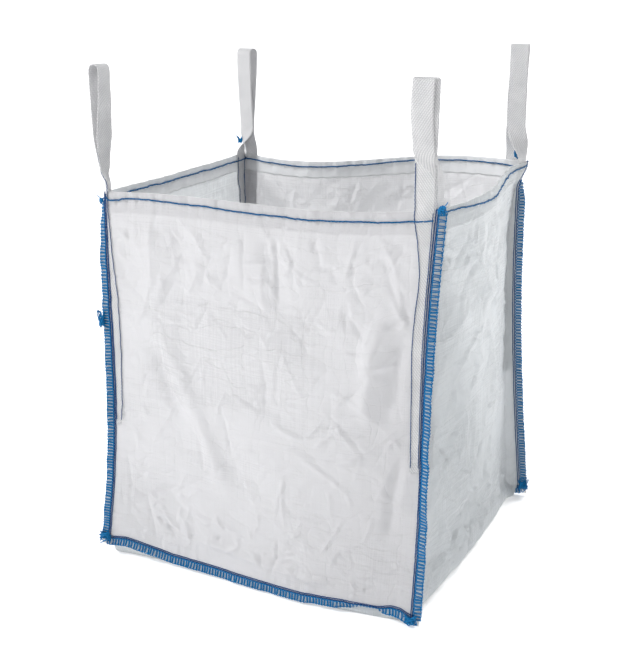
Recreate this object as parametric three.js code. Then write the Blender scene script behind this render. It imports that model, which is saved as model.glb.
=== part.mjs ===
// Open-top bulk bag of woven polypropylene, millimetres, +Z up.
// X runs along the front panel, the front panel faces -Y, and the origin is on the floor under the middle.
// One U-shaped sheet makes the left wall, the base and the right wall. The front and the back panel are
// sewn into it with seam allowances that stand outwards as a fin, overlocked and chain stitched.
// At each corner one strip of webbing is sewn down the outside of the front or back panel (leg A), rises
// into a lifting loop, and comes down inside the side wall (leg B). Each loop folds over above its feet.
import * as THREE from 'three';

// ---- driving dimensions -------------------------------------------------------------------------
const FABRIC = 1.2; // wall thickness
const PANEL_WIDTH = 895; // every wall, from corner to corner
const PANEL_HEIGHT = 985; // from the bottom seam to the rim
const SEAM_STEP = 1.6; // distance between the two fabrics of a seam, middle to middle
const FIN = 24; // seam allowance standing out of each corner
const HEM_STITCH = 20; // hem stitch below the rim
const WEB = 54; // webbing width
const WEB_THICK = 1.8;
const WEB_GAP = 0.9; // between webbing and the fabric it is sewn to
const THREAD_GAP = 0.9; // between a thread and what it lies on
const LEG_RISE = 8; // a leg stays flat to this height above the rim's corner, then turns
const HINGE_RISE = 60; // the loops fold this far above the rim
const HINGE_GAP = 18; // webbing left out on each side of the fold line, so that a loop can fold down
const LEG_B_INSET = 7; // distance of leg B from the corner
const LEG_SPACE = 5; // half the distance between a loop's two legs at the fold line
const THREAD = 1.1; // radius of a hem or edge thread
const STITCH_MARGIN = 5; // from the edge stitch to the webbing's edge
const KNOT = 6; // radius of a seam tail
const CHAIN_WIDTH = 5;
const BASE_ROUND = 45; // rounding between a side wall and the base, away from the seams
const SEAM_ROUND = 12; // the same, at the seams
const BASE_RAMP = 0.05; // share of the depth over which the base drops from the seam to the floor

// Corners of the bag: where the seam meets the rim, and where the side seam meets the bottom seam.
const TOP = {
  fl: [-430, -447, 1008],
  fr: [457, -449, 1032],
  br: [415, 447, 1042],
  bl: [-480, 443, 1012],
};
const BOTTOM = {
  fl: [-447, -447, 50],
  fr: [445, -489, 32],
  br: [470, 452, 32],
  bl: [-462, 447, 45],
};

// The side seams aren't straight: amplitudes of sin(pi v) and sin(2 pi v) towards +X, v from the bottom up.
const SEAM_BOW = {
  fl: [21, 6],
  fr: [-4, 5],
  br: [-17, 1],
  bl: [0, 0],
};

// Each wall runs between two corners and bulges outwards. The bows are amplitudes of sin(pi u) and
// sin(2 pi u) along the rim and the bottom; lift is the same for the rim's height.
const WALLS = {
  front: { from: 'fl', to: 'fr', out: [0, -1], rim: [35, 0], foot: [8, -17], lift: [-4, 8], belly: 20 },
  back: { from: 'bl', to: 'br', out: [0, 1], rim: [6, -53], foot: [12, 0], lift: [-8, -10], belly: 18 },
  left: { from: 'fl', to: 'bl', out: [-1, 0], rim: [-10, 0], foot: [12, 0], lift: [0, 0], belly: 12 },
  right: { from: 'fr', to: 'br', out: [1, 0], rim: [41, 17], foot: [17, 0], lift: [4, 0], belly: 14 },
};

// Each loop: the middle of its fold line from the corner (x inwards), its turn about the vertical, the
// radius of its top bend, the height of its top, and leg A: its lowest point, how far in from the corner
// its outer edge is, and its width at the rim and at its lowest point.
const LOOPS = {
  fl: { inset: 4, turn: 80, bend: 18, top: 1331, legEnd: 387, legFrom: 2, legTop: 30, legFoot: 26 },
  fr: { inset: 30, turn: 0, bend: 14, top: 1332, legEnd: 400, legFrom: 2, legTop: 44, legFoot: 22 },
  br: { inset: 13, turn: 0, bend: 14, top: 1378, legEnd: 420, legFrom: 2, legTop: 54, legFoot: 36 },
  bl: { inset: 4, turn: -15, bend: 17, top: 1340, legEnd: 420, legFrom: 2, legTop: 54, legFoot: 36 },
};

const COLOURS = {
  fabric: 0xe4e6e7,
  webbing: 0xd6d7da,
  overlock: 0x2a6cb5,
  chain: 0x1b3668,
};

// ---- vectors and shapes -------------------------------------------------------------------------
const vec = (x, y, z) => new THREE.Vector3(x, y, z);
const point = (list) => vec(list[0], list[1], list[2]);
const mix = (a, b, t) => a.clone().lerp(b, t);
const clamp01 = (t) => Math.min(Math.max(t, 0), 1);
const smooth = (t) => clamp01(t) ** 2 * (3 - 2 * clamp01(t));
const wave = (amps, u) => amps[0] * Math.sin(Math.PI * u) + amps[1] * Math.sin(2 * Math.PI * u);
const steps = (from, to, count) => (
  Array.from({ length: count + 1 }, (_, i) => from + ((to - from) * i) / count)
);

// A point of a wall: u from one corner to the other, v from the bottom to the rim.
function wallPoint(name, u, v) {
  const wall = WALLS[name];
  const inside = clamp01(u);
  const out = vec(wall.out[0], wall.out[1], 0);
  const foot = mix(point(BOTTOM[wall.from]), point(BOTTOM[wall.to]), u);
  foot.addScaledVector(out, wave(wall.foot, inside));
  const rim = mix(point(TOP[wall.from]), point(TOP[wall.to]), u);
  rim.addScaledVector(out, wave(wall.rim, inside));
  rim.z += wave(wall.lift, inside);
  const high = clamp01(v);
  const bulge = wall.belly * Math.sin(Math.PI * high) * Math.sin(Math.PI * inside);
  const first = wave(SEAM_BOW[wall.from], high);
  const last = wave(SEAM_BOW[wall.to], high);
  return mix(foot, rim, v).addScaledVector(out, bulge).add(vec(first + (last - first) * u, 0, 0));
}

// A point of the base, w across from left to right and u from front to back: a Coons patch.
function basePoint(w, u) {
  const sum = mix(wallPoint('front', w, 0), wallPoint('back', w, 0), u);
  sum.add(mix(wallPoint('left', u, 0), wallPoint('right', u, 0), w));
  const front = mix(point(BOTTOM.fl), point(BOTTOM.fr), w);
  const back = mix(point(BOTTOM.bl), point(BOTTOM.br), w);
  return sum.sub(mix(front, back, u));
}

// Height factor of the base: 1 at the seams, 0 where it lies on the floor.
const seamLift = (u) => 1 - smooth(Math.min(u, 1 - u) / BASE_RAMP);

// A closed body from a grid of points: the grid is a sheet of the given thickness about its middle.
function sheet(grid, thickness) {
  const rows = grid.length;
  const cols = grid[0].length;
  const positions = [];
  const index = [];
  const at = (i, j) => grid[Math.min(Math.max(i, 0), rows - 1)][Math.min(Math.max(j, 0), cols - 1)];
  for (let i = 0; i < rows; i += 1) {
    for (let j = 0; j < cols; j += 1) {
      const along = at(i + 1, j).clone().sub(at(i - 1, j)).normalize();
      const across = at(i, j + 1).clone().sub(at(i, j - 1)).normalize();
      const normal = along.cross(across).normalize().multiplyScalar(thickness / 2);
      const upper = at(i, j).clone().add(normal);
      const lower = at(i, j).clone().sub(normal);
      positions.push(upper.x, upper.y, upper.z, lower.x, lower.y, lower.z);
    }
  }
  const id = (i, j, side) => 2 * (i * cols + j) + side;
  const quad = (a, b, c, d) => index.push(a, b, c, a, c, d);
  for (let i = 0; i + 1 < rows; i += 1) {
    for (let j = 0; j + 1 < cols; j += 1) {
      quad(id(i, j, 0), id(i + 1, j, 0), id(i + 1, j + 1, 0), id(i, j + 1, 0));
      quad(id(i, j, 1), id(i, j + 1, 1), id(i + 1, j + 1, 1), id(i + 1, j, 1));
    }
  }
  for (let i = 0; i + 1 < rows; i += 1) {
    quad(id(i, 0, 0), id(i, 0, 1), id(i + 1, 0, 1), id(i + 1, 0, 0));
    quad(id(i, cols - 1, 0), id(i + 1, cols - 1, 0), id(i + 1, cols - 1, 1), id(i, cols - 1, 1));
  }
  for (let j = 0; j + 1 < cols; j += 1) {
    quad(id(0, j, 0), id(0, j + 1, 0), id(0, j + 1, 1), id(0, j, 1));
    quad(id(rows - 1, j, 0), id(rows - 1, j, 1), id(rows - 1, j + 1, 1), id(rows - 1, j + 1, 0));
  }
  return solid(positions, index);
}

// A closed body swept along stations, each a ring of the same number of points.
function sweep(rings) {
  const size = rings[0].length;
  const positions = rings.flat().flatMap((p) => [p.x, p.y, p.z]);
  const index = [];
  for (let i = 0; i + 1 < rings.length; i += 1) {
    for (let j = 0; j < size; j += 1) {
      const next = (j + 1) % size;
      const a = i * size + j;
      const b = i * size + next;
      index.push(a, a + size, b + size, a, b + size, b);
    }
  }
  const cap = THREE.ShapeUtils.triangulateShape(flatten(rings[0]), []);
  const last = (rings.length - 1) * size;
  for (const [a, b, c] of cap) {
    index.push(a, b, c, last + a, last + c, last + b);
  }
  return solid(positions, index);
}

// The ring's outline in its own plane, for filling the ends of a sweep.
function flatten(ring) {
  const axisX = ring[1].clone().sub(ring[0]).normalize();
  const centre = ring.reduce((sum, p) => sum.add(p), vec(0, 0, 0)).divideScalar(ring.length);
  const area = vec(0, 0, 0);
  ring.forEach((p, j) => {
    const next = ring[(j + 1) % ring.length];
    area.add(p.clone().sub(centre).cross(next.clone().sub(centre)));
  });
  const axisY = area.normalize().cross(axisX);
  return ring.map((p) => {
    const arm = p.clone().sub(centre);
    return new THREE.Vector2(arm.dot(axisX), arm.dot(axisY));
  });
}

// Geometry from positions and triangles, turned so that its faces point outwards.
function solid(positions, index) {
  const corner = (i) => vec(positions[3 * i], positions[3 * i + 1], positions[3 * i + 2]);
  let volume = 0;
  for (let i = 0; i < index.length; i += 3) {
    volume += corner(index[i]).dot(corner(index[i + 1]).cross(corner(index[i + 2])));
  }
  if (volume < 0) {
    index.reverse();
  }
  const geometry = new THREE.BufferGeometry();
  geometry.setAttribute('position', new THREE.Float32BufferAttribute(positions, 3));
  geometry.setIndex(index);
  geometry.computeVertexNormals();
  return geometry;
}

// A thread: a six-sided tube through the points.
function thread(points, radius) {
  const section = new THREE.Shape();
  section.absarc(0, 0, radius, 0, 2 * Math.PI, false);
  const path = new THREE.CatmullRomCurve3(points);
  return new THREE.ExtrudeGeometry(section, {
    steps: points.length - 1,
    curveSegments: 3,
    bevelEnabled: false,
    extrudePath: path,
  });
}

// ---- fabric panels ------------------------------------------------------------------------------
const SIDE = { fl: -1, bl: -1, fr: 1, br: 1 };
const FACE = { fl: 'front', fr: 'front', bl: 'back', br: 'back' };
const outY = (face) => WALLS[face].out[1];

// The seam allowance as a share of a panel's width and height.
const FIN_U = FIN / PANEL_WIDTH;
const FIN_V = FIN / PANEL_HEIGHT;

function flatPanel(face) {
  const edge = [0, 0.03, 0.062];
  const us = [-FIN_U, ...edge, ...steps(0.1, 0.9, 18), ...edge.map((u) => 1 - u).reverse(), 1 + FIN_U];
  const vs = [-FIN_V, ...steps(0, 1, 10)];
  return sheet(vs.map((v) => us.map((u) => wallPoint(face, u, v))), FABRIC);
}

// A quadratic curve from a to b that rounds the corner between them.
const WALL_ROWS = 9;
const BEND_ROWS = 5;
const BASE_ROWS = 16;
const bend = (a, corner, b) => (
  steps(0, 1, BEND_ROWS).map((t) => mix(mix(a, corner, t), mix(corner, b, t), t))
);

// The U-shaped outline on a panel, as (u, v) pairs: down the left edge, along the bottom and up the right.
function seamOutline() {
  const low = SEAM_ROUND / PANEL_HEIGHT;
  const near = SEAM_ROUND / PANEL_WIDTH;
  const at = (u, v) => vec(u, v, 0);
  return [
    ...steps(1, low, WALL_ROWS).slice(0, -1).map((v) => at(0, v)),
    ...bend(at(0, low), at(0, 0), at(near, 0)),
    ...steps(near, 1 - near, BASE_ROWS).slice(1, -1).map((u) => at(u, 0)),
    ...bend(at(1 - near, 0), at(1, 0), at(1, low)),
    ...steps(low, 1, WALL_ROWS).slice(1).map((v) => at(1, v)),
  ];
}

// The same outline moved out by the seam allowance.
function finOutline(outline) {
  return outline.map((p, i) => {
    const before = outline[Math.max(i - 1, 0)];
    const after = outline[Math.min(i + 1, outline.length - 1)];
    const along = vec((after.x - before.x) * PANEL_WIDTH, (after.y - before.y) * PANEL_HEIGHT, 0);
    const out = vec(along.y, -along.x, 0).normalize();
    return vec(p.x + out.x * FIN_U, p.y + out.y * FIN_V, 0);
  });
}

// The base at depth u, w across: it drops from the seams to the floor.
function bottomPoint(w, u) {
  const at = basePoint(w, u);
  return at.setZ(at.z + (FABRIC / 2 - at.z) * (1 - seamLift(u)));
}

// A side wall, reaching down to the base.
function sidePoint(name, u, v) {
  const straight = mix(wallPoint(name, u, 0), wallPoint(name, u, 1), v);
  const foot = bottomPoint(name === 'left' ? 0 : 1, u);
  return mix(foot, wallPoint(name, u, 1), v).add(wallPoint(name, u, v).sub(straight));
}

// The sheet's profile at depth u, from the left rim down, across the base and up to the right rim.
function uProfile(u) {
  const round = SEAM_ROUND + (BASE_ROUND - SEAM_ROUND) * (1 - seamLift(u));
  const low = round / PANEL_HEIGHT;
  const near = round / PANEL_WIDTH;
  const bottom = (w) => bottomPoint(w, u);
  const left = (v) => sidePoint('left', u, v);
  const right = (v) => sidePoint('right', u, v);
  return [
    ...steps(1, low, WALL_ROWS).slice(0, -1).map(left),
    ...bend(left(low), bottom(0), bottom(near)),
    ...steps(near, 1 - near, BASE_ROWS).slice(1, -1).map(bottom),
    ...bend(bottom(1 - near), bottom(1), right(low)),
    ...steps(low, 1, WALL_ROWS).slice(1).map(right),
  ];
}

function uPanel() {
  const outline = seamOutline();
  const fin = finOutline(outline);
  const beside = (face, list) => list.map((p) => {
    const at = wallPoint(face, p.x, p.y);
    return at.setY(at.y - SEAM_STEP * outY(face));
  });
  const inner = [0.02, 0.05, 0.1, ...steps(0.2, 0.8, 8), 0.9, 0.95, 0.98];
  return sheet([
    beside('front', fin),
    beside('front', outline),
    ...inner.map(uProfile),
    beside('back', outline),
    beside('back', fin),
  ], FABRIC);
}

// ---- seams --------------------------------------------------------------------------------------
// Points along one of a panel's three seams: reach is how far out on the fin, off how far in front of it.
// A seam's thread runs over the share of the edge that SEAM_SPANS says, in that many steps.
const SEAM_SPANS = {
  left: [0.03, 0.992, 10],
  right: [0.03, 0.992, 10],
  bottom: [0.028, 0.972, 24],
};
function seamRows(face, part, section) {
  const [first, last, count] = SEAM_SPANS[part];
  return steps(first, last, count).map((t) => section.map(([reach, off]) => {
    const u = part === 'left' ? -reach / PANEL_WIDTH : 1 + reach / PANEL_WIDTH;
    const at = part === 'bottom' ? wallPoint(face, t, -reach / PANEL_HEIGHT) : wallPoint(face, u, t);
    return at.setY(at.y + off * outY(face));
  }));
}

// Overlock thread: a channel that wraps the outer edge of the fin.
function overlock(face, part) {
  const clear = 0.5;
  const wrap = 1.6;
  const from = 7.5;
  const tip = FIN + 0.6;
  const front = FABRIC / 2 + clear;
  const behind = -SEAM_STEP - FABRIC / 2 - clear;
  return sweep(seamRows(face, part, [
    [from, front], [tip, front], [tip, behind], [from, behind],
    [from, behind - wrap], [tip + wrap, behind - wrap], [tip + wrap, front + wrap], [from, front + wrap],
  ]));
}

// Chain stitch: a flat double thread on the fin's root, on the outer face.
function chainStitch(face, part) {
  const off = FABRIC / 2 + 1;
  return sheet(seamRows(face, part, [[1, off], [1 + CHAIN_WIDTH, off]]), 1);
}

// Hem stitch: one thread along the rim, on the outer face, raised where it crosses the webbing.
function hemStitch(name) {
  const wall = WALLS[name];
  const out = vec(wall.out[0], wall.out[1], 0);
  const flat = name === 'front' || name === 'back';
  const overWeb = WEB_GAP + WEB_THICK;
  const webEdge = 67 / PANEL_WIDTH;
  const slope = 27 / PANEL_WIDTH;
  const points = steps(0.012, 0.988, 30).map((u) => {
    const v = 1 - HEM_STITCH / PANEL_HEIGHT;
    const p = flat ? wallPoint(name, u, v) : sidePoint(name, u, v);
    const edge = Math.min(u, 1 - u);
    const raised = flat ? overWeb * (1 - smooth((edge - webEdge) / slope)) : 0;
    return p.addScaledVector(out, FABRIC / 2 + THREAD + THREAD_GAP + raised);
  });
  return thread(points, THREAD);
}

// ---- webbing ------------------------------------------------------------------------------------
function loopFrame(key) {
  const loop = LOOPS[key];
  const turn = THREE.MathUtils.degToRad(loop.turn);
  const corner = point(TOP[key]);
  const along = vec(Math.cos(turn), Math.sin(turn), 0);
  const out = vec(Math.sin(turn), -Math.cos(turn), 0).multiplyScalar(FACE[key] === 'front' ? 1 : -1);
  const middle = vec(corner.x - SIDE[key] * loop.inset, corner.y, corner.z + HINGE_RISE);
  return { loop, corner, along, out, middle };
}

// A strip from rows of three points: one edge, the middle and the other edge.
const strip = (rows) => sheet(rows, WEB_THICK);
const row = (at, half) => [at.clone().sub(half), at, at.clone().add(half)];

// Heights along a sewn leg, as v on the wall and as a share of the leg's length.
function legHeights(key, from, to, count) {
  const { loop, corner } = loopFrame(key);
  return steps(from, to, count).map((z) => ({
    v: (z - BOTTOM[key][2]) / (corner.z - BOTTOM[key][2]),
    share: (z - loop.legEnd) / (corner.z - loop.legEnd),
  }));
}

// A point on the outer face of the front or back panel, a distance in from the corner.
function onPanel(key, inward, v, off) {
  const u = inward / PANEL_WIDTH;
  const at = wallPoint(FACE[key], SIDE[key] < 0 ? u : 1 - u, v);
  return at.setY(at.y + off * outY(FACE[key]));
}

// Leg A: sewn to the outer face of the front or back panel, its outer edge running into the seam.
function legA(key) {
  const { loop, corner, along, out, middle } = loopFrame(key);
  const off = FABRIC / 2 + WEB_GAP + WEB_THICK / 2;
  const sewn = legHeights(key, loop.legEnd, corner.z + LEG_RISE, 10).map(({ v, share }) => {
    const wide = loop.legFoot + (loop.legTop - loop.legFoot) * share;
    return [0, wide / 2, wide].map((across) => onPanel(key, loop.legFrom + across, v, off));
  });
  const to = middle.clone().addScaledVector(out, LEG_SPACE);
  return strip([...sewn, ...twist(sewn[sewn.length - 1], to, along)]);
}

// Leg B: sewn to the inner face of the side wall.
function legB(key) {
  const { loop, corner, along, out, middle } = loopFrame(key);
  const name = SIDE[key] < 0 ? 'left' : 'right';
  const off = FABRIC / 2 + WEB_GAP + WEB_THICK / 2;
  const across = [0, WEB / 2, WEB].map((reach) => (LEG_B_INSET + reach) / PANEL_WIDTH);
  const heights = legHeights(key, loop.legEnd, corner.z + LEG_RISE, 10);
  const sewn = heights.map(({ v }) => across.map((u) => {
    const at = sidePoint(name, FACE[key] === 'front' ? u : 1 - u, v);
    return at.setX(at.x - off * SIDE[key]);
  }));
  const to = middle.clone().addScaledVector(out, -LEG_SPACE);
  return strip([...sewn, ...twist(sewn[sewn.length - 1], to, along)]);
}

// The free foot of a leg: from the panel up to the fold line. Its edge that is nearer the corner stays
// nearer to it while the strip turns.
function twist(last, to, along) {
  const from = last[1];
  const half = last[2].clone().sub(last[0]).divideScalar(2);
  const inwards = vec(-Math.sign(to.x), -Math.sign(to.y), 0);
  const towards = Math.abs(half.x) > Math.abs(half.y) ? half : inwards;
  const turned = along.clone().multiplyScalar(towards.dot(along) < 0 ? -WEB / 2 : WEB / 2);
  const rise = to.z - HINGE_GAP - from.z;
  return steps(0, 1, 7).slice(1).map((t) => {
    const wide = half.length() + (WEB / 2 - half.length()) * t;
    const at = mix(from, to, smooth(t)).setZ(from.z + rise * t);
    return row(at, mix(half, turned, smooth(t)).normalize().multiplyScalar(wide));
  });
}

// The free loop: up one leg, over the top bend and down the other leg.
function liftingLoop(key) {
  const { loop, along, out, middle } = loopFrame(key);
  const bottom = middle.z + HINGE_GAP;
  const centre = loop.top - loop.bend;
  const radius = loop.bend - WEB_THICK / 2;
  const spread = (t) => LEG_SPACE + (radius - LEG_SPACE) * smooth(t);
  const place = (off, z) => middle.clone().addScaledVector(out, off).setZ(z);
  const round = (a) => place(radius * Math.cos(a), centre + radius * Math.sin(a));
  const rise = steps(0, 1, 8);
  const path = [
    ...rise.map((t) => place(spread(t), bottom + (centre - bottom) * t)),
    ...steps(0, Math.PI, 8).slice(1, -1).map(round),
    ...rise.reverse().map((t) => place(-spread(t), bottom + (centre - bottom) * t)),
  ];
  const half = along.clone().multiplyScalar(WEB / 2);
  return strip(path.map((at) => row(at, half)));
}

// Edge stitch: the thread along the inner edge of leg A, below the hem stitch.
function edgeStitch(key) {
  const { loop, corner } = loopFrame(key);
  const off = FABRIC / 2 + WEB_GAP + WEB_THICK + THREAD_GAP + THREAD;
  const heights = legHeights(key, loop.legEnd + 6, corner.z - HEM_STITCH - 10, 12);
  return thread(heights.map(({ v, share }) => {
    const wide = loop.legFoot + (loop.legTop - loop.legFoot) * share;
    return onPanel(key, loop.legFrom + wide - STITCH_MARGIN, v, off);
  }), THREAD);
}

// Chain-off tail: the knotted thread end that the overlock leaves at the end of a seam.
function seamTail(key, corner, outwards, rise) {
  const seamY = outY(FACE[key]) * -SEAM_STEP / 2;
  const at = point(corner).add(vec(SIDE[key] * (FIN + outwards), seamY, rise));
  const knot = new THREE.SphereGeometry(KNOT, 8, 6);
  knot.scale(1, 0.7, 1.3);
  knot.translate(at.x, at.y, at.z);
  return knot;
}

// ---- assembly -----------------------------------------------------------------------------------
const bag = new THREE.Group();
const add = (name, geometry, colour, roughness) => {
  const material = new THREE.MeshStandardMaterial({ color: COLOURS[colour], roughness, metalness: 0 });
  const mesh = new THREE.Mesh(geometry, material);
  mesh.name = name;
  bag.add(mesh);
};

add('u_panel', uPanel(), 'fabric', 0.55);
for (const face of ['front', 'back']) {
  add(`${face}_panel`, flatPanel(face), 'fabric', 0.55);
  for (const part of ['left', 'right', 'bottom']) {
    add(`overlock_${face}_${part}`, overlock(face, part), 'overlock', 0.6);
    add(`chain_stitch_${face}_${part}`, chainStitch(face, part), 'chain', 0.6);
  }
}
for (const name of Object.keys(WALLS)) {
  add(`hem_stitch_${name}`, hemStitch(name), 'overlock', 0.6);
}
const LONG = { fl: 'front_left', fr: 'front_right', br: 'back_right', bl: 'back_left' };
for (const [key, name] of Object.entries(LONG)) {
  add(`webbing_outer_leg_${name}`, legA(key), 'webbing', 0.7);
  add(`webbing_inner_leg_${name}`, legB(key), 'webbing', 0.7);
  add(`lifting_loop_${name}`, liftingLoop(key), 'webbing', 0.7);
  add(`webbing_edge_stitch_${name}`, edgeStitch(key), 'chain', 0.6);
  add(`seam_tail_top_${name}`, seamTail(key, TOP[key], -8, 9), 'overlock', 0.6);
  add(`seam_tail_bottom_${name}`, seamTail(key, BOTTOM[key], 8, -4), 'overlock', 0.6);
}

export default bag;
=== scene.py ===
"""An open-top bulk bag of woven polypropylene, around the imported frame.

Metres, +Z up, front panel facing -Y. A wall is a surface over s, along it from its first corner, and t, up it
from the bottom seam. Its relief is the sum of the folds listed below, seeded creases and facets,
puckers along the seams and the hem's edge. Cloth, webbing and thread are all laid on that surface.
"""

import math

import bpy
import numpy as np
from mathutils import Matrix, Vector


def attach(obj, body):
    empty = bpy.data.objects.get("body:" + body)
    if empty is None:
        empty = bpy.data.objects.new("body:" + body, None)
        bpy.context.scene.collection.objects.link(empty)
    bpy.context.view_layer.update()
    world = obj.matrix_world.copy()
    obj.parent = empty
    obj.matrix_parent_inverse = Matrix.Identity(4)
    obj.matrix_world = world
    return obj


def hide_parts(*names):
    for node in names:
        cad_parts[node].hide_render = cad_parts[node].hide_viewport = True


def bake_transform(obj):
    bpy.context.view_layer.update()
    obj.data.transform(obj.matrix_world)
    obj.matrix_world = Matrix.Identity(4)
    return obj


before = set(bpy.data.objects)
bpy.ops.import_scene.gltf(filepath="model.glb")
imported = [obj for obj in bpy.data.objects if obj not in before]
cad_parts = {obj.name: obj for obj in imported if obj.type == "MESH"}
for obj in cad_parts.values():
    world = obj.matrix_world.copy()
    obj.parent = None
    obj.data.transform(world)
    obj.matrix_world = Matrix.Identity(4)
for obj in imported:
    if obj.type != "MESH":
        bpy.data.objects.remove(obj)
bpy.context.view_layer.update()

# ---- driving dimensions, as in the frame --------------------------------------------------------
PANEL_WIDTH = 0.895
PANEL_HEIGHT = 0.985
FIN = 0.024  # seam allowance standing out of each corner
HEM = 0.051  # depth of the hem, folded to the inside
FABRIC = 0.0007
SEAM_STEP = 0.0011  # between the two fabrics of a seam
WEB = 0.054
WEB_THICK = 0.0017
WEB_LIE = FABRIC / 2 + WEB_THICK / 2 + 0.0004  # webbing's middle above the fabric's
BASE_ROUND = 0.045  # rounding between a side wall and the base, away from the seams
SEAM_ROUND = 0.012  # the same, at the seams
BASE_RAMP = 0.022  # share of the depth over which the base drops to the floor
GRID = 0.0042  # spacing of the front and back panel's mesh
GRID_U = 0.0056  # spacing of the U-shaped panel's mesh
PHASE = 6.3  # a random phase runs up to this, about a full turn

TOP = {
    "fl": (-0.430, -0.447, 1.010),
    "fr": (0.457, -0.449, 1.032),
    "br": (0.415, 0.447, 1.042),
    "bl": (-0.480, 0.443, 1.012),
}
BOTTOM = {
    "fl": (-0.447, -0.447, 0.050),
    "fr": (0.445, -0.489, 0.032),
    "br": (0.470, 0.452, 0.032),
    "bl": (-0.462, 0.447, 0.045),
}
# The side seams bow: amplitudes of sin(pi v) and sin(2 pi v) towards +X.
SEAM_BOW = {"fl": (0.021, 0.006), "fr": (-0.004, 0.005), "br": (-0.017, 0.001), "bl": (0, 0)}
# Turn of the seam allowance about each side seam, degrees towards +Y, at shares of the height.
FIN_TURN = {
    "fl": [(0, 0), (0.22, -5), (0.42, -20), (0.62, -4), (0.82, 8), (0.91, 22), (0.955, 45), (0.985, 66)],
    "fr": [(0, 10), (0.08, 0), (0.15, 0), (0.30, -25), (0.46, -25), (0.60, -8), (0.75, 18), (1, 22)],
    "br": [(0, 20), (0.88, 22), (0.93, 70), (0.965, 140), (1, 155)],
    "bl": [(0, 10), (0.3, -15), (0.7, 20), (1, 5)],
}
# The same for the bottom seams, outwards from hanging straight down, at shares of the width.
BOTTOM_TURN = {
    "front": [
        (0, 8), (0.1, 22), (0.35, 15), (0.6, 2), (0.78, -8), (0.83, -48), (0.90, -50), (0.94, 0), (1, 20),
    ],
    "back": [(0, 0), (0.3, 18), (0.6, -6), (1, 12)],
}
# Height of the front bottom seam over a straight line, and depth of the hem stitches below the rims.
FOOT_LIFT = [
    (0, 0.004), (0.05, 0.010), (0.10, 0.004), (0.20, -0.009), (0.40, -0.009), (0.60, -0.004),
    (0.72, 0.005), (0.81, 0.006), (0.845, 0.015), (0.87, 0.013), (0.895, -0.001),
]
HEM_LINE = {
    "front": [
        (0, 0.012), (0.012, 0.021), (0.045, 0.020), (0.055, 0.016), (0.15, 0.017), (0.25, 0.020),
        (0.45, 0.023),
    ],
    "right": [
        (0, 0.006), (0.1, 0.010), (0.2, 0.016), (0.35, 0.026), (0.55, 0.027), (0.75, 0.020), (0.895, 0.008),
    ],
    "back": [(0, 0.014), (0.3, 0.016), (0.55, 0.011), (0.895, 0.015)],
    "left": [(0, 0.014), (0.895, 0.018)],
}
# Each wall runs between two corners. The bows are amplitudes of sin(pi u) and sin(2 pi u) outwards.
WALLS = {
    "front": dict(
        ends=("fl", "fr"), out=(0, -1, 0), belly=0.020,
        rim=(0.035, 0), foot=(0.008, -0.017), lift=(-0.004, 0.008),
    ),
    "back": dict(
        ends=("bl", "br"), out=(0, 1, 0), belly=0.018,
        rim=(0.006, -0.053), foot=(0.012, 0), lift=(-0.008, -0.010),
    ),
    "left": dict(
        ends=("fl", "bl"), out=(-1, 0, 0), belly=0.012,
        rim=(-0.010, 0), foot=(0.012, 0), lift=(0, 0),
    ),
    "right": dict(
        ends=("fr", "br"), out=(1, 0, 0), belly=0.014,
        rim=(0.041, 0.017), foot=(0.017, 0), lift=(0.004, 0),
    ),
}
CORNERS = {"fl": "front_left", "fr": "front_right", "br": "back_right", "bl": "back_left"}
SIDE = {"fl": -1, "bl": -1, "fr": 1, "br": 1}
FACE = {"fl": "front", "fr": "front", "bl": "back", "br": "back"}


# ---- small mathematics --------------------------------------------------------------------------
def smooth(x):
    x = np.clip(x, 0, 1)
    return x * x * (3 - 2 * x)


def lerp(a, b, t):
    return np.asarray(a, float) + (np.asarray(b, float) - np.asarray(a, float)) * np.asarray(t)[..., None]


def wave(amps, u):
    return amps[0] * np.sin(np.pi * u) + amps[1] * np.sin(2 * np.pi * u)


def through(knots, x):
    """A value at x on a line through (x, value) knots."""
    places, values = zip(*knots)
    return np.interp(x, places, values)


def unit(v):
    return v / np.maximum(np.linalg.norm(v, axis=-1, keepdims=True), 1e-12)


def wall_point(name, u, v):
    """A point of a plain wall, u along it and v up it, both from 0 to 1. Past those it goes on straight."""
    u, v = np.broadcast_arrays(np.asarray(u, float), np.asarray(v, float))
    wall = WALLS[name]
    first, last = wall["ends"]
    out = np.array(wall["out"], float)
    inside = np.clip(u, 0, 1)
    foot = lerp(BOTTOM[first], BOTTOM[last], u) + out * wave(wall["foot"], inside)[..., None]
    rim = lerp(TOP[first], TOP[last], u) + out * wave(wall["rim"], inside)[..., None]
    rim[..., 2] += wave(wall["lift"], inside)
    high = np.clip(v, 0, 1)
    bulge = wall["belly"] * np.sin(np.pi * high) * np.sin(np.pi * inside)
    at = lerp(foot, rim, v) + out * bulge[..., None]
    at[..., 0] += wave(SEAM_BOW[first], high) * (1 - u) + wave(SEAM_BOW[last], high) * u
    return at


def base_point(w, u):
    """A point of the base, w across from left to right and u from front to back: a Coons patch."""
    total = lerp(wall_point("front", w, 0), wall_point("back", w, 0), u)
    total = total + lerp(wall_point("left", u, 0), wall_point("right", u, 0), w)
    front = lerp(BOTTOM["fl"], BOTTOM["fr"], w)
    back = lerp(BOTTOM["bl"], BOTTOM["br"], w)
    return total - lerp(front, back, u)


def bottom_point(w, u):
    """The base as it lies: from the seams it drops straight to the floor."""
    w, u = np.broadcast_arrays(np.asarray(w, float), np.asarray(u, float))
    at = base_point(w, u)
    low = smooth(np.minimum(u, 1 - u) / BASE_RAMP)
    at[..., 2] += (FABRIC / 2 + 0.0003 - at[..., 2]) * low
    at[..., 2] += np.where(u < 0.5, through(FOOT_LIFT, w * PANEL_WIDTH) * (1 - low), 0)
    return at


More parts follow.
